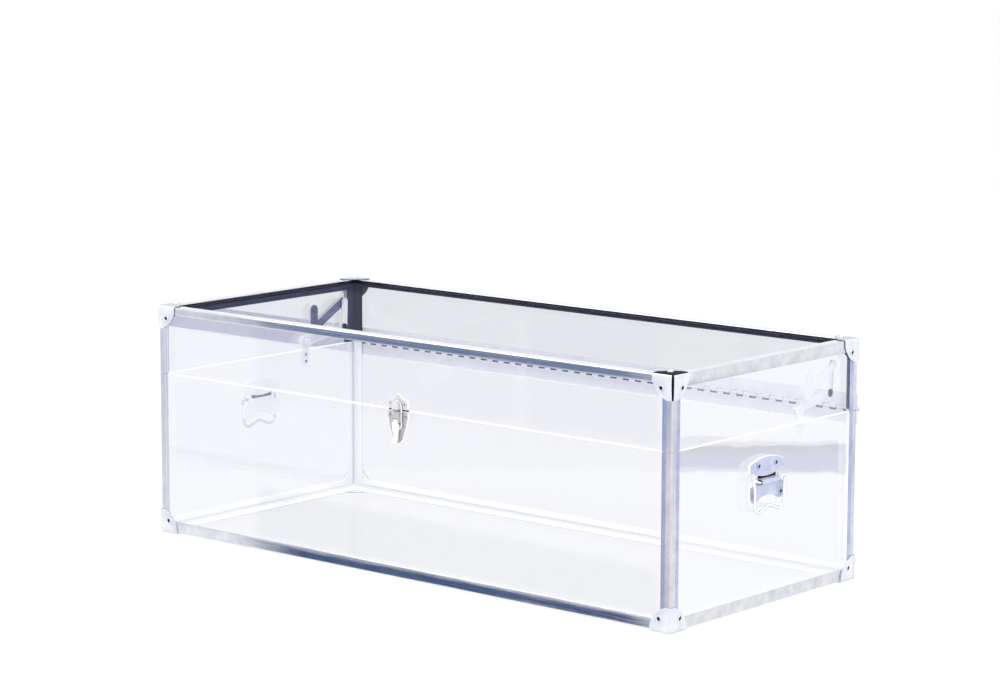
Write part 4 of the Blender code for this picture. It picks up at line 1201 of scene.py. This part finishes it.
# Cards that polished metal and acrylic reflect, in degrees: azimuth from -Y towards -X and its half width,
# elevation and its half height, softness of the border, rise per degree of azimuth, and then the colour.
CARDS = (
    (40.6, 7.0, -9.4, 1.78, 0.06, 0.0, (0.74, 0.76, 0.84)),  # pale grey, for the front panes
    (41.3, 3.65, -9.14, 1.10, 0.15, 0.120, (0.19, 0.25, 0.39)),  # steel blue, for the lid's front rail
    (41.3, 3.65, -13.45, 1.10, 0.15, 0.200, (0.07, 0.11, 0.23)),  # steel blue, for the base's front rail
    (-144.3, 2.2, -10.92, 0.24, 0.03, 0.0, (0.10, 0.14, 0.42)),  # blue, for the right end pane
    (-144.3, 2.2, -10.74, 0.06, 0.03, -0.02, (0.0, 0.0, 0.10)),  # its darker upper edge
)


def make_world():
    world = bpy.data.worlds.new("studio")
    bpy.context.scene.world = world
    tree = Tree(world)
    direction = tree.node("TexCoord", {}, out=0)
    split = tree.tree.nodes.new("ShaderNodeSeparateXYZ")
    tree.put(split, {0: direction})
    x, y, z = split.outputs
    degrees = 180 / math.pi
    turned = tree.math("ARCTAN2", tree.math("MULTIPLY", x, -1.0), tree.math("MULTIPLY", y, -1.0))
    azimuth = tree.math("MULTIPLY", turned, degrees)
    elevation = tree.math("MULTIPLY", tree.math("ARCSINE", z), degrees)
    colour = tree.mix(0.0, ROOM, ROOM)
    for at, width, height_at, height, soft, tilt, card in CARDS:
        near = []
        rise = tree.math("MULTIPLY_ADD", tree.math("SUBTRACT", azimuth, at), tilt, height_at)
        for value, middle, half in ((azimuth, at, width), (elevation, rise, height)):
            off = tree.math("ABSOLUTE", tree.math("SUBTRACT", value, middle))
            near.append(tree.spread(off, half, half + soft, 1.0, 0.0, "SMOOTHSTEP"))
        colour = tree.mix(tree.math("MULTIPLY", *near), colour, card)
    seen = tree.node("LightPath", {}, out=0)
    colour = tree.mix(seen, colour, (1.0, 1.0, 1.0))
    light = tree.node("Background", {"Color": colour})
    tree.node("OutputWorld", {"Surface": light})


def make_floor():
    bm = bmesh.new()
    bmesh.ops.create_grid(bm, x_segments=4, y_segments=4, size=FLOOR_HALF)
    mesh = finished(bm)
    material, tree = new_material("pale_floor")
    tone = tree.mix(tree.noise((3, 3, 3), 2), (0.97, 0.97, 0.98), (0.99, 0.99, 1.0))
    lit = tree.node("BsdfDiffuse", {"Color": tone})
    glow = tree.node("Emission", {"Color": tone, "Strength": FLOOR_GLOW})
    tree.finish(tree.node("MixShader", {0: FLOOR_SHADE, 1: glow, 2: lit}))
    mesh.materials.append(material)
    floor = bpy.data.objects.new("floor", mesh)
    bpy.context.scene.collection.objects.link(floor)
    floor.visible_glossy = False


def make_light(name, place, size, power):
    data = bpy.data.lights.new(name, "AREA")
    data.shape = "DISK"
    data.size = size
    data.energy = power
    lamp = bpy.data.objects.new(name, data)
    bpy.context.scene.collection.objects.link(lamp)
    lamp.location = place
    lamp.rotation_mode = "QUATERNION"
    lamp.rotation_quaternion = Vector(place).to_track_quat("Z", "Y")


def make_studio():
    make_world()
    make_floor()
    for lamp in LAMPS:
        make_light(*lamp)
    bpy.context.scene.view_settings.view_transform = "Standard"


def make_box():
    for body, flat in (("base", "floor"), ("lid", "top")):
        for name in (flat, "front", "back", "left", "right"):
            make_pane(body, name)
    make_edging()
    make_caps()
    make_hinge()
    make_latch_keeper()
    make_latch_plate()
    make_latch_lever()
    make_latch_loop()
    for name, side in (("left", -1), ("right", 1)):
        make_handle(name, side)
        make_stay(name, side)


make_camera()
make_box()
make_studio()
